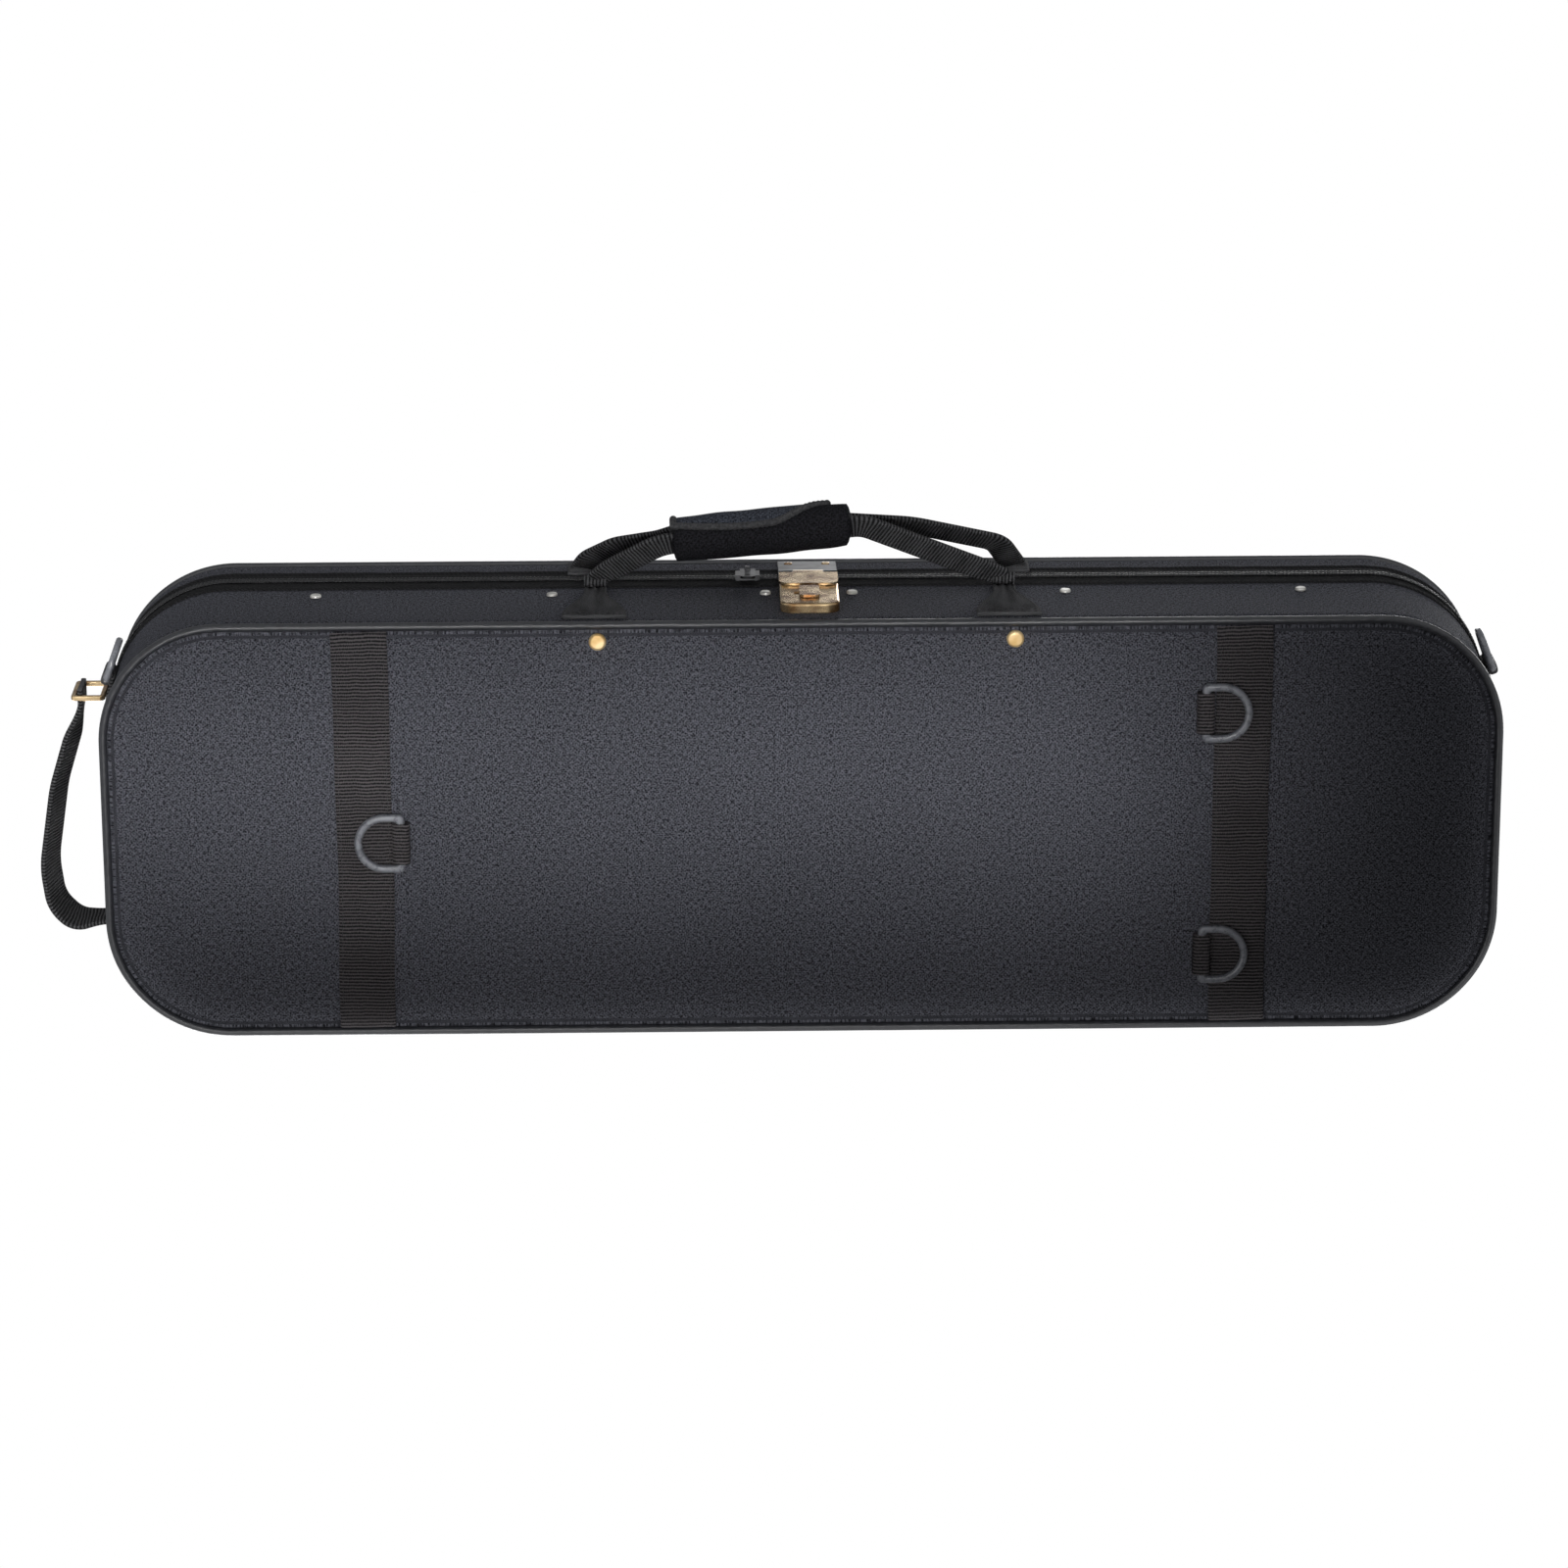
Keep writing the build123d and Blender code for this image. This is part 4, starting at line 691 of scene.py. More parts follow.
piece("band_thread", band_stitches, thread_paint, "base")

# Ring tabs: short loops of webbing sewn to the underside beside the bands, each round the bar of
# one D-ring. The case stands on them.
tab_x, tab_length, tab_width, rest_height = 229.75, 10.4, 24.0, 8.0
tab_places = ((-tab_x, 5.5), (tab_x, -68.5), (tab_x, 76.5))
seam_inward, seam_half, seam_z = 5.0, 11, -2.2


def tab_patches(x, y):
    """A loaf of webbing: a rounded loop over the bar that spreads where it is sewn down."""
    steps = np.arange(0, tab_width + 0.01, 0.3)
    turn = np.linspace(0, 2 * pi, 41)
    round_x, round_z = bulged(turn, 2 / 3.4)
    middle = -rest_height / 2 - 0.02
    rib = 0.25 * (np.abs(np.sin(pi * steps / 2.0)) - 1)[:, None]
    dip = 0.5 * np.exp(-((turn - pi * 1.5) / 0.25) ** 2)[None, :]
    dip = dip * np.sin(pi * steps / tab_width)[:, None]
    grow = 1 + rib / 5
    px = x + round_x[None, :] * tab_length / 2 * grow
    pz = middle + round_z[None, :] * (rest_height / 2) * np.where(round_z < 0, grow, 1) + dip * 0.3
    py = y - tab_width / 2 + steps[:, None] + 0 * px
    py = held(py)
    return patch(drawn(px, x), py, drawn(pz, middle), turn[None, :] * 5, py)


ring_tabs = [tab_patches(x, y) for x, y in tab_places]
piece("ring_tab_webbing", ring_tabs, webbing_paint, "base", ["pack_ring_tabs"])
tab_thread = []
for x, y in tab_places:
    inner_side = -1 if x > 0 else 1
    sewn_x = x + inner_side * seam_inward
    row = np.linspace((sewn_x, y - seam_half, seam_z), (sewn_x, y + seam_half, seam_z), 30)
    tab_thread += stitches(row, (inner_side, 0, 0))
piece("ring_tab_thread", tab_thread, thread_paint, "base")

# D-rings: moulded glossy black plastic, three on the underside for the back straps and two at
# the front corners for the shoulder strap.


def cad_finish(paint, *nodes):
    """CAD nodes whose shape is right keep it and take this material."""
    for node in nodes:
        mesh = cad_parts[node].data
        mesh.materials.clear()
        mesh.materials.append(paint.material)


ring_paint = Paint("ring_plastic", Specular_IOR_Level=0.7, Coat_Weight=0.6, Coat_Roughness=0.12)
ring_scuff = ring_paint.noise(ring_paint.where(), 260, 4, 0.65)
ring_paint.set(
    Base_Color=ring_paint.mix(ring_scuff, rgb(84, 86, 92), rgb(132, 134, 140)),
    Roughness=ring_paint.ramp(ring_scuff, 0.3, 0.8) * 0.25 + 0.22,
)
ring_paint.bump(ring_scuff, 0.00015)
cad_finish(
    ring_paint, "pack_ring_left", "pack_ring_front", "pack_ring_rear", "shoulder_ring_left",
    "shoulder_ring_right",
)

# Metal parts: lacquered brass domes, rivet and bow posts; a latch and loop in warm nickel; pale
# wall rivets; a dark zipper slider; the latch's lid plate in the same dark metal as painted shade,
# for the shadow under the hasp's roll; and satin steel in the hinge, its screws and the accessory lid's rod.


def metal(name, light, dark, rough, lacquer=0.0):
    """Plated metal: fine polishing marks, a little tarnish in the low places, and as much
    clouded lacquer as asked for."""
    paint = Paint(name, Metallic=1.0 - lacquer)
    brushed = paint.noise(paint.where((60, 2400, 2400)), 1.0, 2)
    tarnish = paint.noise(paint.where(), 110, 2, 0.45)
    paint.set(
        Base_Color=paint.mix(paint.ramp(tarnish, 0.25, 0.65), dark, light),
        Roughness=brushed * 0.12 + tarnish * 0.15 + rough,
    )
    paint.bump(brushed * 0.08 + tarnish, 0.00002)
    return paint


brass_paint = metal("brass", rgb(248, 222, 172), rgb(216, 176, 110), 0.22, 0.5)
nickel_paint = metal("nickel", rgb(226, 198, 154), rgb(158, 116, 74), 0.08, 0.08)
steel_paint = metal("hinge_steel", rgb(188, 188, 186), rgb(166, 166, 165), 0.28)
rivet_paint = metal("rivet_metal", rgb(236, 234, 228), rgb(170, 168, 162), 0.25, 0.4)
# Dark metal: the slider and pull are black-plated; on the latch's lid plate this dark colour is painted
# shade.
slider_and_painted_shade_paint = metal("zip_metal", rgb(96, 96, 98), rgb(38, 38, 40), 0.2)
cad_finish(brass_paint, "handle_domes", "end_rivet", "bow_button_posts")
cad_finish(
    nickel_paint, "latch_back_plate", "latch_case", "latch_thumb", "latch_hasp", "latch_pin",
    "latch_rivets", "end_loop",
)
cad_finish(
    steel_paint, "hinge_leaf_base", "hinge_leaf_lid", "hinge_pin", "hinge_screws_base",
    "hinge_screws_lid", "accessory_rod",
)
cad_finish(rivet_paint, "wall_rivets")
# The lid plate takes the dark metal as painted shade, for the shadow that falls under the hasp's roll.
cad_finish(slider_and_painted_shade_paint, "zip_slider", "zip_pull", "latch_lid_plate")

# Front handle tabs: two webbing straps sewn to the base's front wall over a turned-under hem and
# gathered toward the strap.
tab_foot, tab_neck, handle_tab_x = 37.0, 13.0, 118.0
tab_low, tab_hem, tab_high = 8.0, 8.0, 70.0
tab_middle, tab_face = front - 1.3, front - 2.75
tab_steps = np.arange(0, tab_high - tab_low + 0.01, 0.3)
gathered = smooth(tab_steps, tab_hem * 0.6, tab_high - tab_low - 8)
handle_tab_width = tab_foot + (tab_neck - tab_foot) * gathered


def gathers(length, across):
    """The hem's double layer at the foot, and pleats that deepen toward the neck."""
    hem = 0.55 * (1 - smooth(length, tab_hem - 1, tab_hem))
    return hem + 0.75 * gathered[:, None] * np.sin(across * 7.5) * (1 - np.abs(across) ** 4) - 0.3


handle_tabs, handle_thread = [], []
for side in (-1, 1):
    middle_x = side * handle_tab_x
    path = straight((middle_x, tab_middle, tab_low), (0, 0, 1), tab_steps)
    handle_tabs.append(strip(path, tab_steps, (-1, 0, 0), handle_tab_width, 2.3, 2.0, 0.22, 21, gathers))
    row_half = tab_foot / 2 - 2.0
    for low in (tab_low + 1.5, tab_low + tab_hem - 1.6):
        row = np.linspace((middle_x - row_half, tab_face, low), (middle_x + row_half, tab_face, low), 30)
        handle_thread += stitches(row, (0, -1, 0))
piece("handle_tab_webbing", handle_tabs, handle_webbing, "base", ["front_handle_tabs"])
piece("handle_tab_thread", handle_thread, thread_paint, "base")

# Front handle strap: one webbing loop that leans out from the tabs and runs through the wrap. Its
# roots are rolled round the stitching.


def leaning(pivot_out, pivot_z, grip_out, grip_z):
    """A handle's plane: its origin at the pivot, its outward direction and its reach."""
    outward = np.array([0, pivot_out - grip_out, grip_z - pivot_z])
    reach = np.linalg.norm(outward)
    return np.array([0, front - pivot_out, pivot_z]), outward / reach, reach


def in_plane(points, origin, outward):
    """The path through points given as x and reach in a handle's plane, and at each of them the
    direction across the path in that plane."""
    points = np.asarray(points, float)
    path = origin + np.outer(points[:, 0], (1, 0, 0)) + np.outer(points[:, 1], outward)
    return path, np.cross(np.cross((1, 0, 0), outward), np.gradient(path, axis=0))


strap_width, strap_thickness, root_radius = 16.0, 3.5, 3.5
wrap_left, wrap_right, wrap_slope = -74.0, 30.0, tan(radians(7))
strap_under, past_wrap = 2.0, 6.0
pivot, outward, reach = leaning(6.35, 68.0, 39.7, 48.0)
wrap_rise = (wrap_right - wrap_left) / 2 * wrap_slope
climb = wrap_rise + past_wrap * wrap_slope
flat_path, strap_length = rounded(
    [(-handle_tab_x, 1.5), (-handle_tab_x + 7, reach * 0.2),
     (wrap_left - past_wrap, reach - strap_under - climb),
     (wrap_right + past_wrap, reach - strap_under + climb),
     (handle_tab_x - 12, reach * 0.18), (handle_tab_x, 1.5)],
    [8, 30, 18, 14],
)
strap_path, strap_across = in_plane(flat_path, pivot, outward)
ends = np.minimum(strap_length, strap_length[-1] - strap_length)
root_width = tab_neck + (strap_width - tab_neck) * smooth(ends, 0, 16)
front_strap = [strip(strap_path, strap_length, strap_across, root_width, strap_thickness, 1.8, 0.35, 13)]
for side in (-1, 1):
    steps = np.arange(0, tab_neck + 0.01, 0.25)
    roll = np.linspace(0, 2 * pi, 25)[None, :]
    rib = (root_radius - 0.25 + 0.25 * np.abs(np.sin(pi * steps / 1.8)))[:, None]
    size, steps = drawn(rib, 0), held(steps)[:, None]
    x = side * handle_tab_x - tab_neck / 2 + steps
    y, z = pivot[1] + size * np.cos(roll), pivot[2] + size * np.sin(roll)
    front_strap.append(patch(x, y, z, roll * 3, steps))
piece("front_strap_webbing", front_strap, handle_webbing, "front_handle", ["front_handle_strap"])

# Handle wrap: a padded sleeve round the strap, under a cloth flap that is bound along its edge
# with a knitted tape and folds over from behind.
wrap_paint = woven_nylon("wrap_cloth", rgb(42, 42, 46), rgb(9, 9, 10), 1.4)
flap_paint = woven_nylon("flap_cloth", rgb(84, 88, 98), rgb(16, 17, 20), 1.4)
binding_paint = grained(
    "wrap_binding", (9, 9, 10), (92, 92, 94), 0.0003, scale=700, rough=0.7, Specular_IOR_Level=0.15,
)
wrap_radius = 13.0


def wrap_axis(x):
    """Y and Z of the sleeve's axis, which climbs toward the right end in the handle's plane."""
    along = reach + (x - (wrap_left + wrap_right) / 2) * wrap_slope
    return pivot[1] + outward[1] * along, pivot[2] + outward[2] * along


def wrap_point(share, turn, swell=0.0):
    """A point on the sleeve: share runs from its left end to its right, turn goes round it from
    the side that faces down, through outward, to the side that faces up."""
    x = wrap_left + (wrap_right - wrap_left) * share
    bow = 1 - (2 * share - 1) ** 2
    size = (wrap_radius - 1.8 + 1.8 * bow**0.5 + swell) * (1 + 0.03 * ripple(x, turn * 9, 0, 9, 31))
    axis_y, axis_z = wrap_axis(x)
    return x, axis_y - size * np.sin(turn), axis_z - size * np.cos(turn)


share = np.linspace(0, 1, 90)[:, None]
turn = np.linspace(0, 2 * pi, 65)[None, :]
x, y, z = wrap_point(share, turn)
end_round = smooth(np.minimum(share, 1 - share), 0, 0.035) ** 0.5
core_y, core_z = wrap_axis(x)
y, z = core_y + (y - core_y) * end_round, core_z + (z - core_z) * end_round
wrap_body = [patch(x, y, z, x, turn * wrap_radius)]
wrap = piece("wrap_sleeve", wrap_body, wrap_paint, "front_handle", ["handle_wrap"])

flap_first, flap_last, flap_root = 0.012, 0.86, pi * 1.18
flap_share = np.linspace(flap_first, flap_last, 80)[:, None]
lower = 0.62 + 0.42 * ((flap_share - 0.45) / 0.45) ** 2 + 0.9 * smooth(flap_share, 0.55, 0.86)
fan = np.linspace(0, 1, 36)[None, :]
flap_turn = lower + (flap_root - lower) * fan
lift = 1.1 + 0.35 * ripple(flap_share * 100, fan * 40, 0, 8, 37)
x, y, z = wrap_point(flap_share, flap_turn, lift)
under = wrap_point(flap_share, flap_turn, 0.1)
flap = [patch(x, y, z, x, flap_turn * wrap_radius), patch(*under, x, flap_turn * wrap_radius)]
wrap_flap = piece("wrap_flap", flap, flap_paint, "front_handle")


def bead_along(path, radius, pitch):
    """A knitted binding: a tube along a path whose twisted stitches stand out from it."""
    run = run_along(path)
    even = np.arange(0, run[-1], 0.4)
    line = points_at(run, path, even)
    tangent = unit(np.gradient(line, axis=0))
    aside = unit(np.cross(tangent, (0.3, 0.2, 0.9)))
    above = np.cross(tangent, aside)
    turn = np.linspace(0, 2 * pi, 13)
    size = radius * (0.82 + 0.18 * np.abs(np.sin(pi * even[:, None] / pitch + turn[None, :])))
    size = drawn(size, 0)
    line, aside, above = (held(rows) for rows in (line, aside, above))
    spoke = aside[:, None] * np.cos(turn)[None, :, None] + above[:, None] * np.sin(turn)[None, :, None]
    return patch(*np.moveaxis(line[:, None] + size[..., None] * spoke, -1, 0))


binding_lift = 0.6
lower_edge = np.stack(wrap_point(flap_share[:, 0], lower[:, 0], binding_lift), 1)
left_rim, right_rim = (
    np.stack(wrap_point(np.full(40, end), np.linspace(lower[row, 0], flap_root, 40), binding_lift), 1)
    for end, row in ((flap_first, 0), (flap_last, -1))
)
bound = np.concatenate([left_rim[::-1], lower_edge, right_rim])
bead = bead_along(bound, 2.2, 2.6)
binding = piece("wrap_binding", [bead], binding_paint, "front_handle")

# Rear handle: two webbing tabs sewn to the lid's front wall, and a webbing strap that rises from
# them, passes over the front handle's wrap and comes down again.
rear_tab_x, rear_tab_width, rear_pivot_z, rear_tab_high = 125.0, 20.0, 105.0, 124.0
rear_tabs, rear_thread = [], []
for side in (-1, 1):
    middle_x = side * rear_tab_x
    steps = np.arange(0, rear_tab_high - rear_pivot_z + 4.01, 0.3)
    path = straight((middle_x, tab_middle, rear_pivot_z - 4), (0, 0, 1), steps)
    rear_tabs.append(strip(path, steps, (-1, 0, 0), rear_tab_width, 2.3, 1.8, 0.25, 15))
    for low in (rear_tab_high - 2, rear_tab_high - 8):
        row = np.linspace((middle_x - 8, front - 2.6, low), (middle_x + 8, front - 2.6, low), 20)
        rear_thread += stitches(row, (0, -1, 0))
piece("rear_tab_webbing", rear_tabs, handle_webbing, "lid", ["rear_handle_tabs"])
piece("rear_tab_thread", rear_thread, thread_paint, "lid")
rear_pivot, rear_outward, rear_reach = leaning(4.35, rear_pivot_z, 40.0, 72.0)
flat_path, rear_length = rounded(
    [(-rear_tab_x, 1.2), (-rear_tab_x + 4, rear_reach * 0.22), (-rear_tab_x + 20, rear_reach * 0.5),
     (wrap_left - 6, rear_reach * 0.64), (wrap_left + 24, rear_reach), (wrap_right - 8, rear_reach),
     (wrap_right + 34, rear_reach * 0.9), (rear_tab_x - 10, rear_reach * 0.5), (rear_tab_x, 1.2)],
    [14, 16, 30, 30, 60, 60, 14],
)
rear_path, rear_across = in_plane(flat_path, rear_pivot, rear_outward)
rear_strap = strip(rear_path, rear_length, rear_across, 16.0, 3.0, 1.8, 0.3, 13)
piece("rear_strap_webbing", [rear_strap], handle_webbing, "rear_handle", ["rear_handle_strap"])

# End strips: webbing sewn round the two front corners. Each holds a shoulder ring in a small
# tunnel tab.
strip_z, strip_width, strip_middle, strip_face = 60.0, 26.0, 1.05, 2.05
shoulder_turn, shoulder_tab_length, shoulder_tab_width = radians(20), 9.0, 20.0


def end_strip(side, front_y, rear_y):
    """The strip as a flat loop along the outline, and the tab as a loaf over the ring's bar."""
    every = np.linspace(knots[2] - quarter, knots[4], 4000)
    y = rim(every)[1]
    first, last = every[y < rear_y][0], every[y > front_y][-1]
    steps = np.arange(0, last - first, 0.34)
    x, y = rim(first + steps, -strip_middle)
    path = np.stack([x * (-side), y, np.full(steps.shape, strip_z)], 1)
    patches = [strip(path, steps, (0, 0, 1), strip_width, 2.0, 2.0, 0.25, 13)]
    radius = corner + strip_face
    middle = (
        side * (straight_x + radius * cos(shoulder_turn)), -straight_y - radius * sin(shoulder_turn),
    )
    forward = (-side * sin(shoulder_turn), -cos(shoulder_turn))
    out = (side * cos(shoulder_turn), -sin(shoulder_turn))
    steps = np.arange(0, shoulder_tab_width + 0.01, 0.3)
    turn = np.linspace(0, 2 * pi, 33)
    round_along, round_out = bulged(turn, 2 / 3.2)
    a = round_along * shoulder_tab_length / 2
    b = 2.5 + round_out * 3.0
    rib = 1 - 0.04 * (1 - np.abs(np.sin(pi * steps / 2.0)))[:, None]
    height = strip_z - shoulder_tab_width / 2 + steps
    loop = [middle[k] + forward[k] * a[None, :] * rib + out[k] * b[None, :] * rib for k in (0, 1)]
    x, y = (drawn(rows, rows.mean()) for rows in loop)
    z = held(height)[:, None] + 0 * x
    patches.append(patch(x, y, z, turn[None, :] * 4, z))
    return patches


piece("left_end_webbing", end_strip(-1, -79, 73), handle_webbing, "base", ["end_strip_left"])
piece("right_end_webbing", end_strip(1, -79, -10), handle_webbing, "base", ["end_strip_right"])

# End handle: a webbing strap that passes through a metal loop at the front corner, bows out from
# the left end and is sewn down toward the spine. It twists a little in the middle.
end_face = -half_length - strip_face
end_out, end_bow, end_foot_y = 13.6, 36.5, 69.0
foot_x = -(straight_x + np.sqrt((corner + strip_face) ** 2 - (67.5 - straight_y) ** 2)) - 0.1
end_path, end_length = rounded(
    [(end_face - end_out, -72), (end_face - end_out, -62), (end_face - end_bow + 7.5, -12),
     (end_face - end_bow, 36), (end_face - end_bow + 3, end_foot_y - 9),
     (end_face - end_bow + 14.5, end_foot_y + 2.5), (foot_x, end_foot_y)],
    [8, 90, 60, 22, 14],
)
end_path = np.column_stack([end_path, np.full(len(end_path), strip_z)])
twist_ends = 1 - smooth(end_length, end_length[-1] - 30, end_length[-1] - 6)
twist = radians(17) * smooth(end_length, 12, 34) * twist_ends
end_side = np.cross(unit(np.gradient(end_path, axis=0)), (0, 0, 1))
end_across = np.outer(np.cos(twist), (0, 0, 1)) + end_side * np.sin(twist)[:, None]
end_strap = strip(end_path, end_length, end_across, 25.0, 3.0, 1.9, 0.3, 15)
piece("end_strap_webbing", [end_strap], handle_webbing, "base", ["end_handle_strap"])

# Inside: the plywood shells show only at the rim. A plush lining covers them, a stiff lip stands
# inside the base's rim, and the cradle is one foam block under the same plush.
ply_paint = Paint("plywood", Roughness=0.6)
ply_lines = ply_paint.noise(ply_paint.where((12, 12, 900)), 1.0, 3)
ply_grain = ply_paint.noise(ply_paint.where((8, 60, 60)), 3.0, 4)
ply_tone = ply_lines * 0.6 + ply_grain * 0.4
ply_paint.set(Base_Color=ply_paint.mix(ply_tone, rgb(150, 112, 72), rgb(206, 170, 122)))
ply_paint.bump(ply_grain, 0.0002)
cad_finish(ply_paint, "base_shell", "lid_shell")

plush_paint = Paint(
    "plush", Sheen_Weight=0.7, Sheen_Roughness=0.35, Sheen_Tint=(0.8, 0.35, 0.4, 1),
    Specular_IOR_Level=0.2,
)
pile = plush_paint.noise(plush_paint.where(), 900, 3, 0.7)
nap = plush_paint.noise(plush_paint.where(), 22, 3, 0.55)
plush_tone = plush_paint.ramp(nap, 0.3, 0.7) * 0.35 + pile * 0.55
plush_paint.set(
    Base_Color=plush_paint.mix(plush_tone, rgb(66, 14, 22), rgb(118, 28, 40)),
    Roughness=pile * 0.15 + 0.8,
)
plush_paint.bump(pile + nap * 2, 0.0008)


def lining_patches(outward, inset_out, top):
    """The lining: a tray skin 1.5 mm thick, both faces rounded at the edge."""
    along = stops(0, girth, 9, 4)[None, :]
    turn = np.linspace(0, pi / 2, 7)
    inner_inset = inset_out + 1.5
    rows = [(i, inset_out) for i in (half_width, 90, 50, 20, edge)]
    rows += edge_rows(edge - inset_out, turn[1:])
    rows += [(inset_out, top), (inner_inset, top)]
    rows += edge_rows(edge - inner_inset, turn[::-1])
    rows += [(i, inner_inset) for i in (16, 24, 36, 50, 70, 90, 108, half_width)]
    rows = np.array(rows)
    inset, w = rows[:, :1] + 0 * along, rows[:, 1:] + 0 * along
    x, y = rim(along, inset)
    return [patch(x, y, w if outward > 0 else depth - w, along, w)]


base_lining = lining_patches(1, 6.3, seam - 0.25)
lid_lining = lining_patches(-1, 5.3, depth - seam - 0.25)
piece("base_lining_plush", base_lining, plush_paint, "base", ["base_lining"])
piece("lid_lining_plush", lid_lining, plush_paint, "lid", ["lid_lining"])

lip_paint = grained(
    "rim_board", (22, 22, 24), (44, 44, 47), 0.0002, scale=350, detail=3, Roughness=0.5,
)
cad_finish(lip_paint, "rim_lip")

# Cradle: one block of foam under plush, with a violin-shaped pocket, a neck slot and two wells.
# Its top is a height field: each hollow has a signed distance, and the foam falls across its
# edge to its floor, with a soft rounded lip.
cradle_top, cradle_low, cradle_inset = 86.0, 7.85, 9.9
pocket_floor, neck_floor, well_floor = 24.0, 40.0, 20.0
lower_x, lower_radius, upper_x, upper_radius = 262.0, 110.0, 94.0, 90.0
slot_first, slot_length = -228.0, 322.0


def box_distance(x, y, middle_x, middle_y, length, width, radius):
    """How far a point is outside a rounded rectangle; inside it is negative."""
    dx = np.abs(x - middle_x) - (length / 2 - radius)
    dy = np.abs(y - middle_y) - (width / 2 - radius)
    outside = np.hypot(np.maximum(dx, 0), np.maximum(dy, 0))
    return outside + np.minimum(np.maximum(dx, dy), 0) - radius


def blend_in(first, second, soft):
    """The nearer of two distances, rounded where they meet."""
    share = np.clip(0.5 + 0.5 * (second - first) / soft, 0, 1)
    return second * (1 - share) + first * share - soft * share * (1 - share)


def cradle_height(x, y):
    """Height of the cradle's top: the violin's pocket, its neck slot and the two wells."""
    lower = np.hypot(x - lower_x, y) - lower_radius
    upper = np.hypot(x - upper_x, y) - upper_radius
    pocket = blend_in(lower, upper, 46)
    slot = box_distance(x, y, slot_first + slot_length / 2, 0, slot_length, 62, 30.9)
    end_well = box_distance(x, y, -319, 0, 122, 200, 35)
    side_well = box_distance(x, y, -128, -75, 196, 68, 6)
    hollows = ((slot, neck_floor), (pocket, pocket_floor), (end_well, well_floor), (side_well, well_floor))
    height = np.full(np.shape(x), cradle_top)
    for distance, level in hollows:
        lip = cradle_top - 2.2 * np.exp(-np.maximum(distance, 0) / 2.5)
        wall = level + (lip - level) * smooth(distance, -2.4, 0.6)
        height = np.minimum(height, wall)
    return height


gx, gy = np.meshgrid(np.linspace(-1, 1, 460), np.linspace(-1, 1, 150))
inner_x, inner_y = half_length - cradle_inset, half_width - cradle_inset
round_corner = corner - cradle_inset
px, py = gx * inner_x, gy * inner_y
over_x, over_y = np.abs(px) - (inner_x - round_corner), np.abs(py) - (inner_y - round_corner)
far = np.hypot(np.maximum(over_x, 0), np.maximum(over_y, 0))
outside = (over_x > 0) & (over_y > 0)
scale = np.where(outside, np.maximum(over_x, over_y) / np.maximum(far, 1e-9), 1)
px = np.where(outside, np.sign(px) * (inner_x - round_corner + over_x * scale), px)
py = np.where(outside, np.sign(py) * (inner_y - round_corner + over_y * scale), py)
pz = cradle_height(px, py)
cradle = [patch(px, py, pz, px, py)]
ring_x, ring_y, ring_z = (
    np.concatenate([grid[0], grid[1:, -1], grid[-1, -2::-1], grid[-2::-1, 0]]) for grid in (px, py, pz)
)
skirt_z = np.stack([ring_z, np.full(ring_z.shape, cradle_low + 3), np.full(ring_z.shape, cradle_low)])
tucked = 0.985
skirt_in = np.array([[1.0], [1.0], [tucked]])
cradle.append(patch(ring_x * skirt_in, ring_y * skirt_in, skirt_z))
under_x = np.stack([ring_x * tucked, ring_x * 0.8, ring_x * 0])
under_y = np.stack([ring_y * tucked, ring_y * 0, ring_y * 0])
cradle.append(patch(under_x, under_y, np.full((3, ring_x.size), cradle_low)))
cradle_piece = piece("cradle_plush", cradle, plush_paint, "base", ["instrument_cradle"])

# Pocket cushions: two thin blocks of soft foam under plush, one under each half of the violin's
# body.


def pillow(middle_x, middle_y, low, length, width, height, radius, crown):
    """A soft block: a rounded rectangle whose top swells and whose sides round over and under."""
    turn = np.linspace(0, 2 * pi, 97)[None, :]
    cx, cy = bulged(turn, 0.42)
    inset, drop = radius / width * 2, radius / height
    below, above = np.linspace(0, pi / 2, 5)[1:], np.linspace(0, pi / 2, 6)
    rows = [(0, 0), (0.5, 0), (1 - inset, 0)]
    rows += [(1 - inset * (1 - sin(a)), drop * (1 - cos(a))) for a in below]
    rows += [(1 - inset * (1 - cos(a)), 1 - drop * (1 - sin(a))) for a in above]
    rows += [(0.75, 1 + crown * 0.5), (0.5, 1 + crown * 0.85), (0.25, 1 + crown), (0, 1 + crown)]
    rows = np.array(rows)
    grow, rise = rows[:, :1], rows[:, 1:]
    x = middle_x + grow * length / 2 * cx
    y = middle_y + grow * width / 2 * cy
    return patch(x, y, low + rise * height + 0 * x, x, y)


cushion_sizes = ((lower_x + 60.5, 46.2, 95.7), (upper_x - 40.5, 36.0, 83.7))
cushions = [
    pillow(x, 0, pocket_floor + 0.1, length, width, 9.2, 4, 0.08) for x, length, width in cushion_sizes
]
cushion_piece = piece("cushion_plush", cushions, plush_paint, "base", ["pocket_cushions"])

# Neck rest: a padded block with a round saddle across the neck slot, and the soft strap that
# holds the violin's neck down in it.
rest_middle_x, rest_half_length, rest_half_width, rest_half_height = -88.0, 14.9, 30.4, 12.0
saddle_radius, saddle_middle = 20.3, neck_floor + 31.9
rest_middle_z, rest_core_z = neck_floor + 12.1, neck_floor + 10
rest_x = np.linspace(-1, 1, 25)[None, :]
rest_turn = np.linspace(0, 2 * pi, 121)[:, None]
rest_y, rest_z = bulged(rest_turn, 0.16)
rest_y = rest_half_width * rest_y
rest_z = rest_middle_z + rest_half_height * rest_z
saddle = saddle_middle - np.sqrt(np.maximum(saddle_radius**2 - rest_y**2, 0))
in_saddle = (np.sin(rest_turn) > 0) & (np.abs(rest_y) < saddle_radius)
rest_z = np.where(in_saddle, np.minimum(rest_z, saddle), rest_z)
soft_end = (1 - np.abs(rest_x) ** 10) ** 0.2 * 0.06 + 0.94
closed = np.where(np.abs(rest_x) > 0.999, 0.0, 1.0)
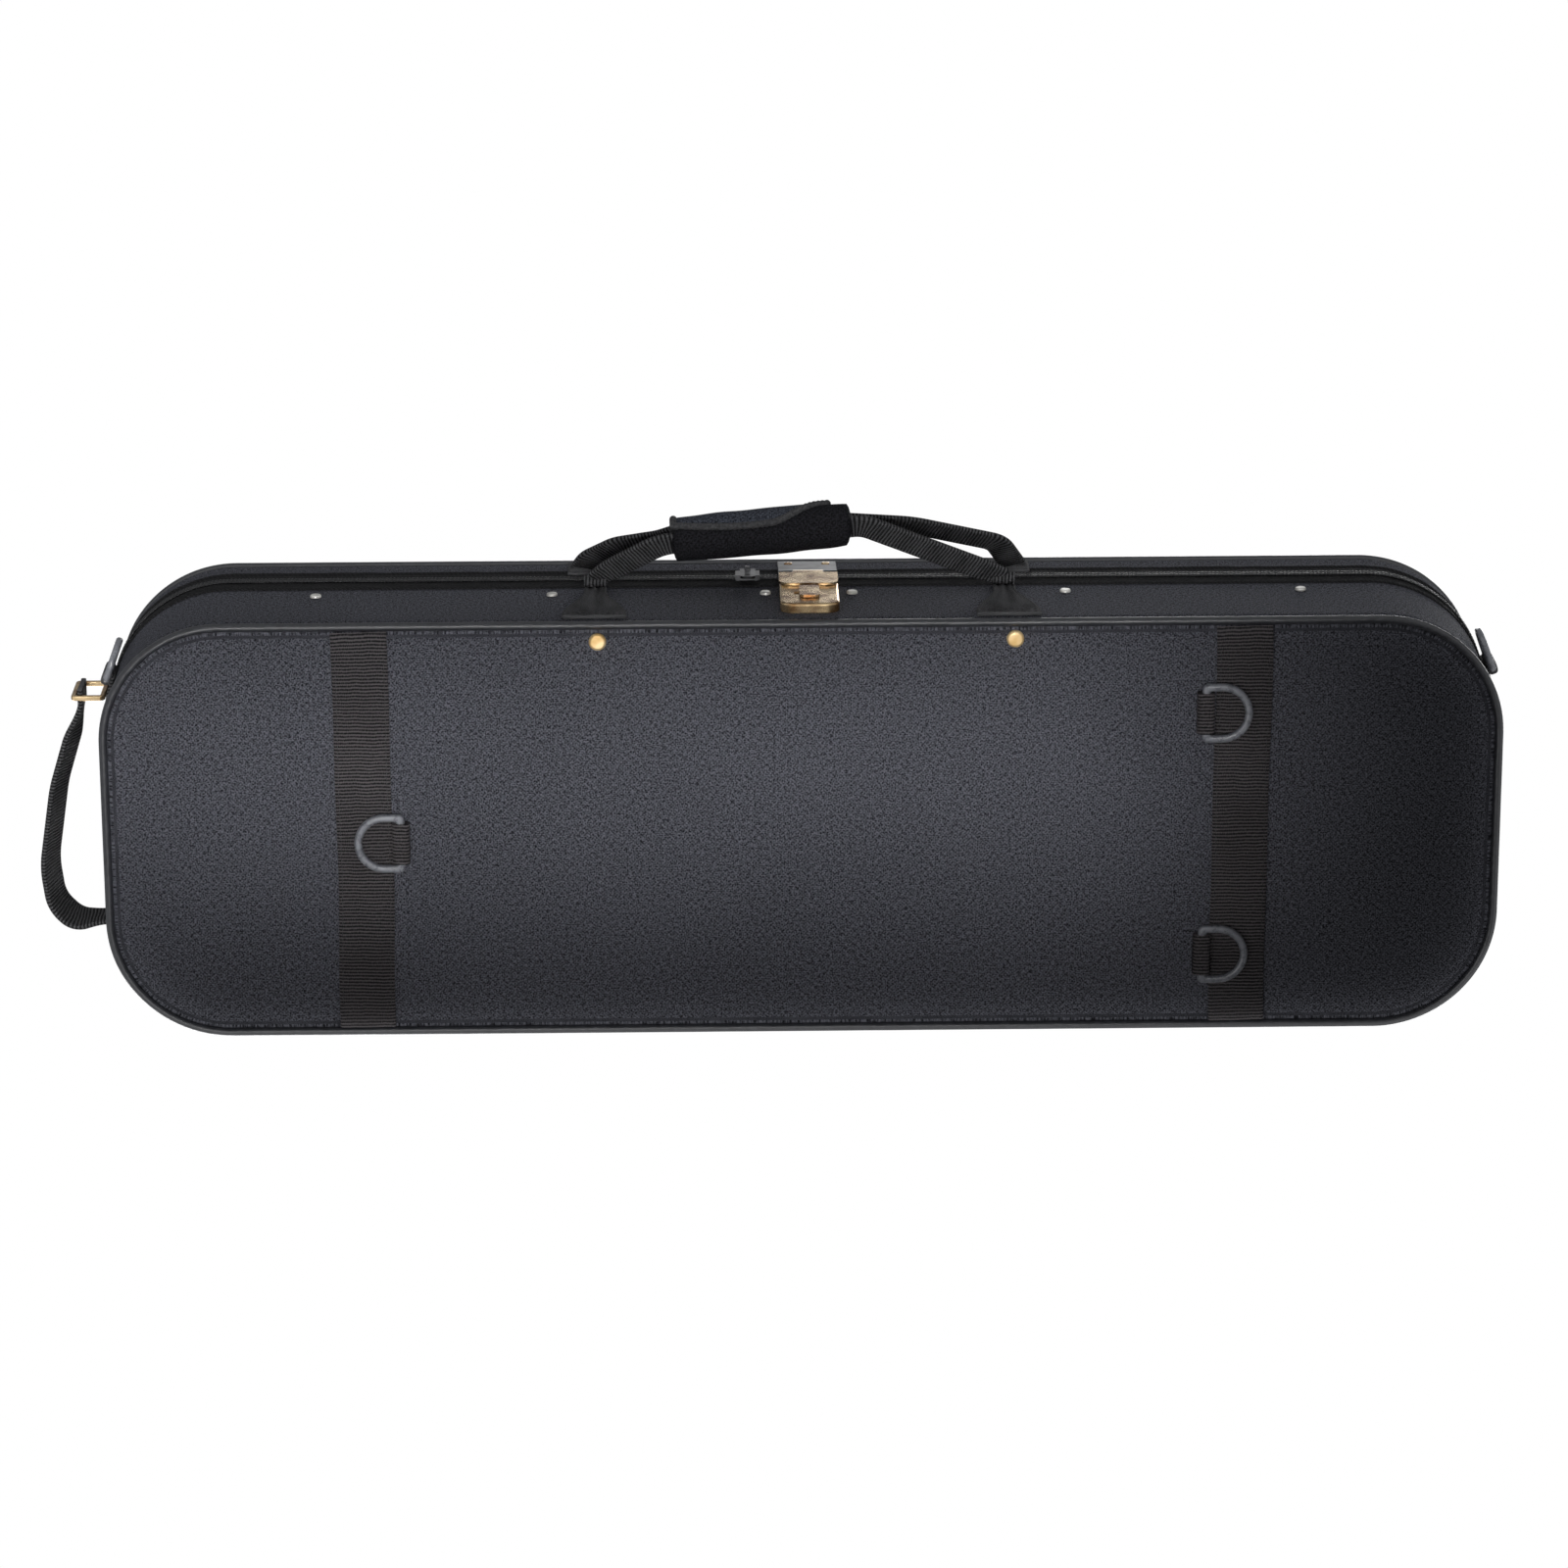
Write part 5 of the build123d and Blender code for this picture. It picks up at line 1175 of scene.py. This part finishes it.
rest_patch = patch(
    rest_middle_x + rest_half_length * rest_x + 0 * rest_y, rest_y * soft_end * closed,
    rest_core_z + (rest_z - rest_core_z) * soft_end * closed, rest_x * 15, rest_turn * 12,
)
neck_rest = piece("neck_rest_plush", [rest_patch], plush_paint, "base", ["neck_rest"])
strap_steps = np.arange(0, 97, 0.5)
neck_path = straight((-136, -37, cradle_top + 0.85), (0, 1, 0), strap_steps)
neck_strap = strip(neck_path, strap_steps, (1, 0, 0), 26, 1.5, 2.0, 0.1, 9)
piece("neck_strap_plush", [neck_strap], plush_paint, "base", ["neck_strap"])

# Accessory lid: a thin board covered with plush over the well beside the neck. It turns on a rod
# along its front edge, and a ribbon sewn to its other edge lifts it.
board_middle_x, board_half_x, board_z = -128.0, 101.0, 88.05
board_middle_y, board_half_y, board_half_height = (-112.0 - 39.0) / 2, 36.4, 1.7
turn = np.linspace(0, 2 * pi, 81)[:, None]
across = np.linspace(-1, 1, 41)[None, :]
loop_y, loop_z = bulged(turn, 0.1)[0], bulged(turn, 0.5)[1]
taper = np.where(np.abs(across) > 0.999, 0.0, 1.0)
board = patch(
    board_middle_x + board_half_x * across + 0 * loop_y,
    board_middle_y + board_half_y * loop_y * taper,
    board_z + board_half_height * loop_z * taper + 0 * across, board_half_x * across, loop_y * 36,
)
piece("accessory_board", [board], plush_paint, "accessory_door", ["accessory_lid"])
ribbon_paint = grained(
    "ribbon", (26, 26, 28), (52, 52, 56), 0.0002, (300, 2200, 300), rough=0.5, Sheen_Weight=0.3,
)
ribbon_steps = np.arange(0, 14.01, 0.3)
ribbon_path = straight((board_middle_x, -54, 90.45), (0, 1, 0), ribbon_steps)
ribbon = strip(ribbon_path, ribbon_steps, (1, 0, 0), 14, 1.1, 1.4, 0.1, 9)
piece("accessory_ribbon", [ribbon], ribbon_paint, "accessory_door", ["accessory_pull"])

# Bow holders in the lid: two plush sleeves for the tips, and turned posts whose dark wooden
# buttons swing across the bows.
sleeve_end, sleeve_length, sleeve_z, sleeve_floor = -350.0, 60.0, 123.2, 1.5
outer_half_y, outer_half_z, inner_half_y, inner_half_z = 12.9, 5.9, 11.3, 4.4
across = np.linspace(0, 1, 14)[None, :]
turn = np.linspace(0, 2 * pi, 61)[:, None]
round_y, round_z = bulged(turn, 0.3)
outer_x = sleeve_end + sleeve_length * across + 0 * turn
end_line, inner_line = np.full((61, 1), sleeve_end), np.full((61, 2), sleeve_end + sleeve_floor)
x = np.concatenate([end_line, outer_x, outer_x[:, :0:-1], inner_line], 1)
outer_z = sleeve_z + outer_half_z * round_z + 0 * across
inner_z = sleeve_z + inner_half_z * round_z + 0 * across
z = np.concatenate([np.full((61, 1), sleeve_z), outer_z, inner_z, np.full((61, 1), sleeve_z)], 1)
sleeves = []
for middle_y in (-48.0, 48.0):
    outer_y = middle_y + outer_half_y * round_y * (1 + 0.03 * np.sin(across * pi))
    inner_y = middle_y + inner_half_y * round_y + 0 * across
    y = np.concatenate([np.full((61, 1), middle_y), outer_y, inner_y, np.full((61, 1), middle_y)], 1)
    sleeves.append(patch(x, y, z, x, turn * 9))
piece("bow_sleeve_plush", sleeves, plush_paint, "lid", ["bow_tip_sleeves"])
bow_paint = grained(
    "bow_wood", (38, 22, 14), (92, 54, 34), 0.0001, (40, 600, 600), detail=4, crisp=0.6, rough=0.35,
    Coat_Weight=0.4, Coat_Roughness=0.2,
)
cad_finish(bow_paint, "bow_button_front", "bow_button_rear")
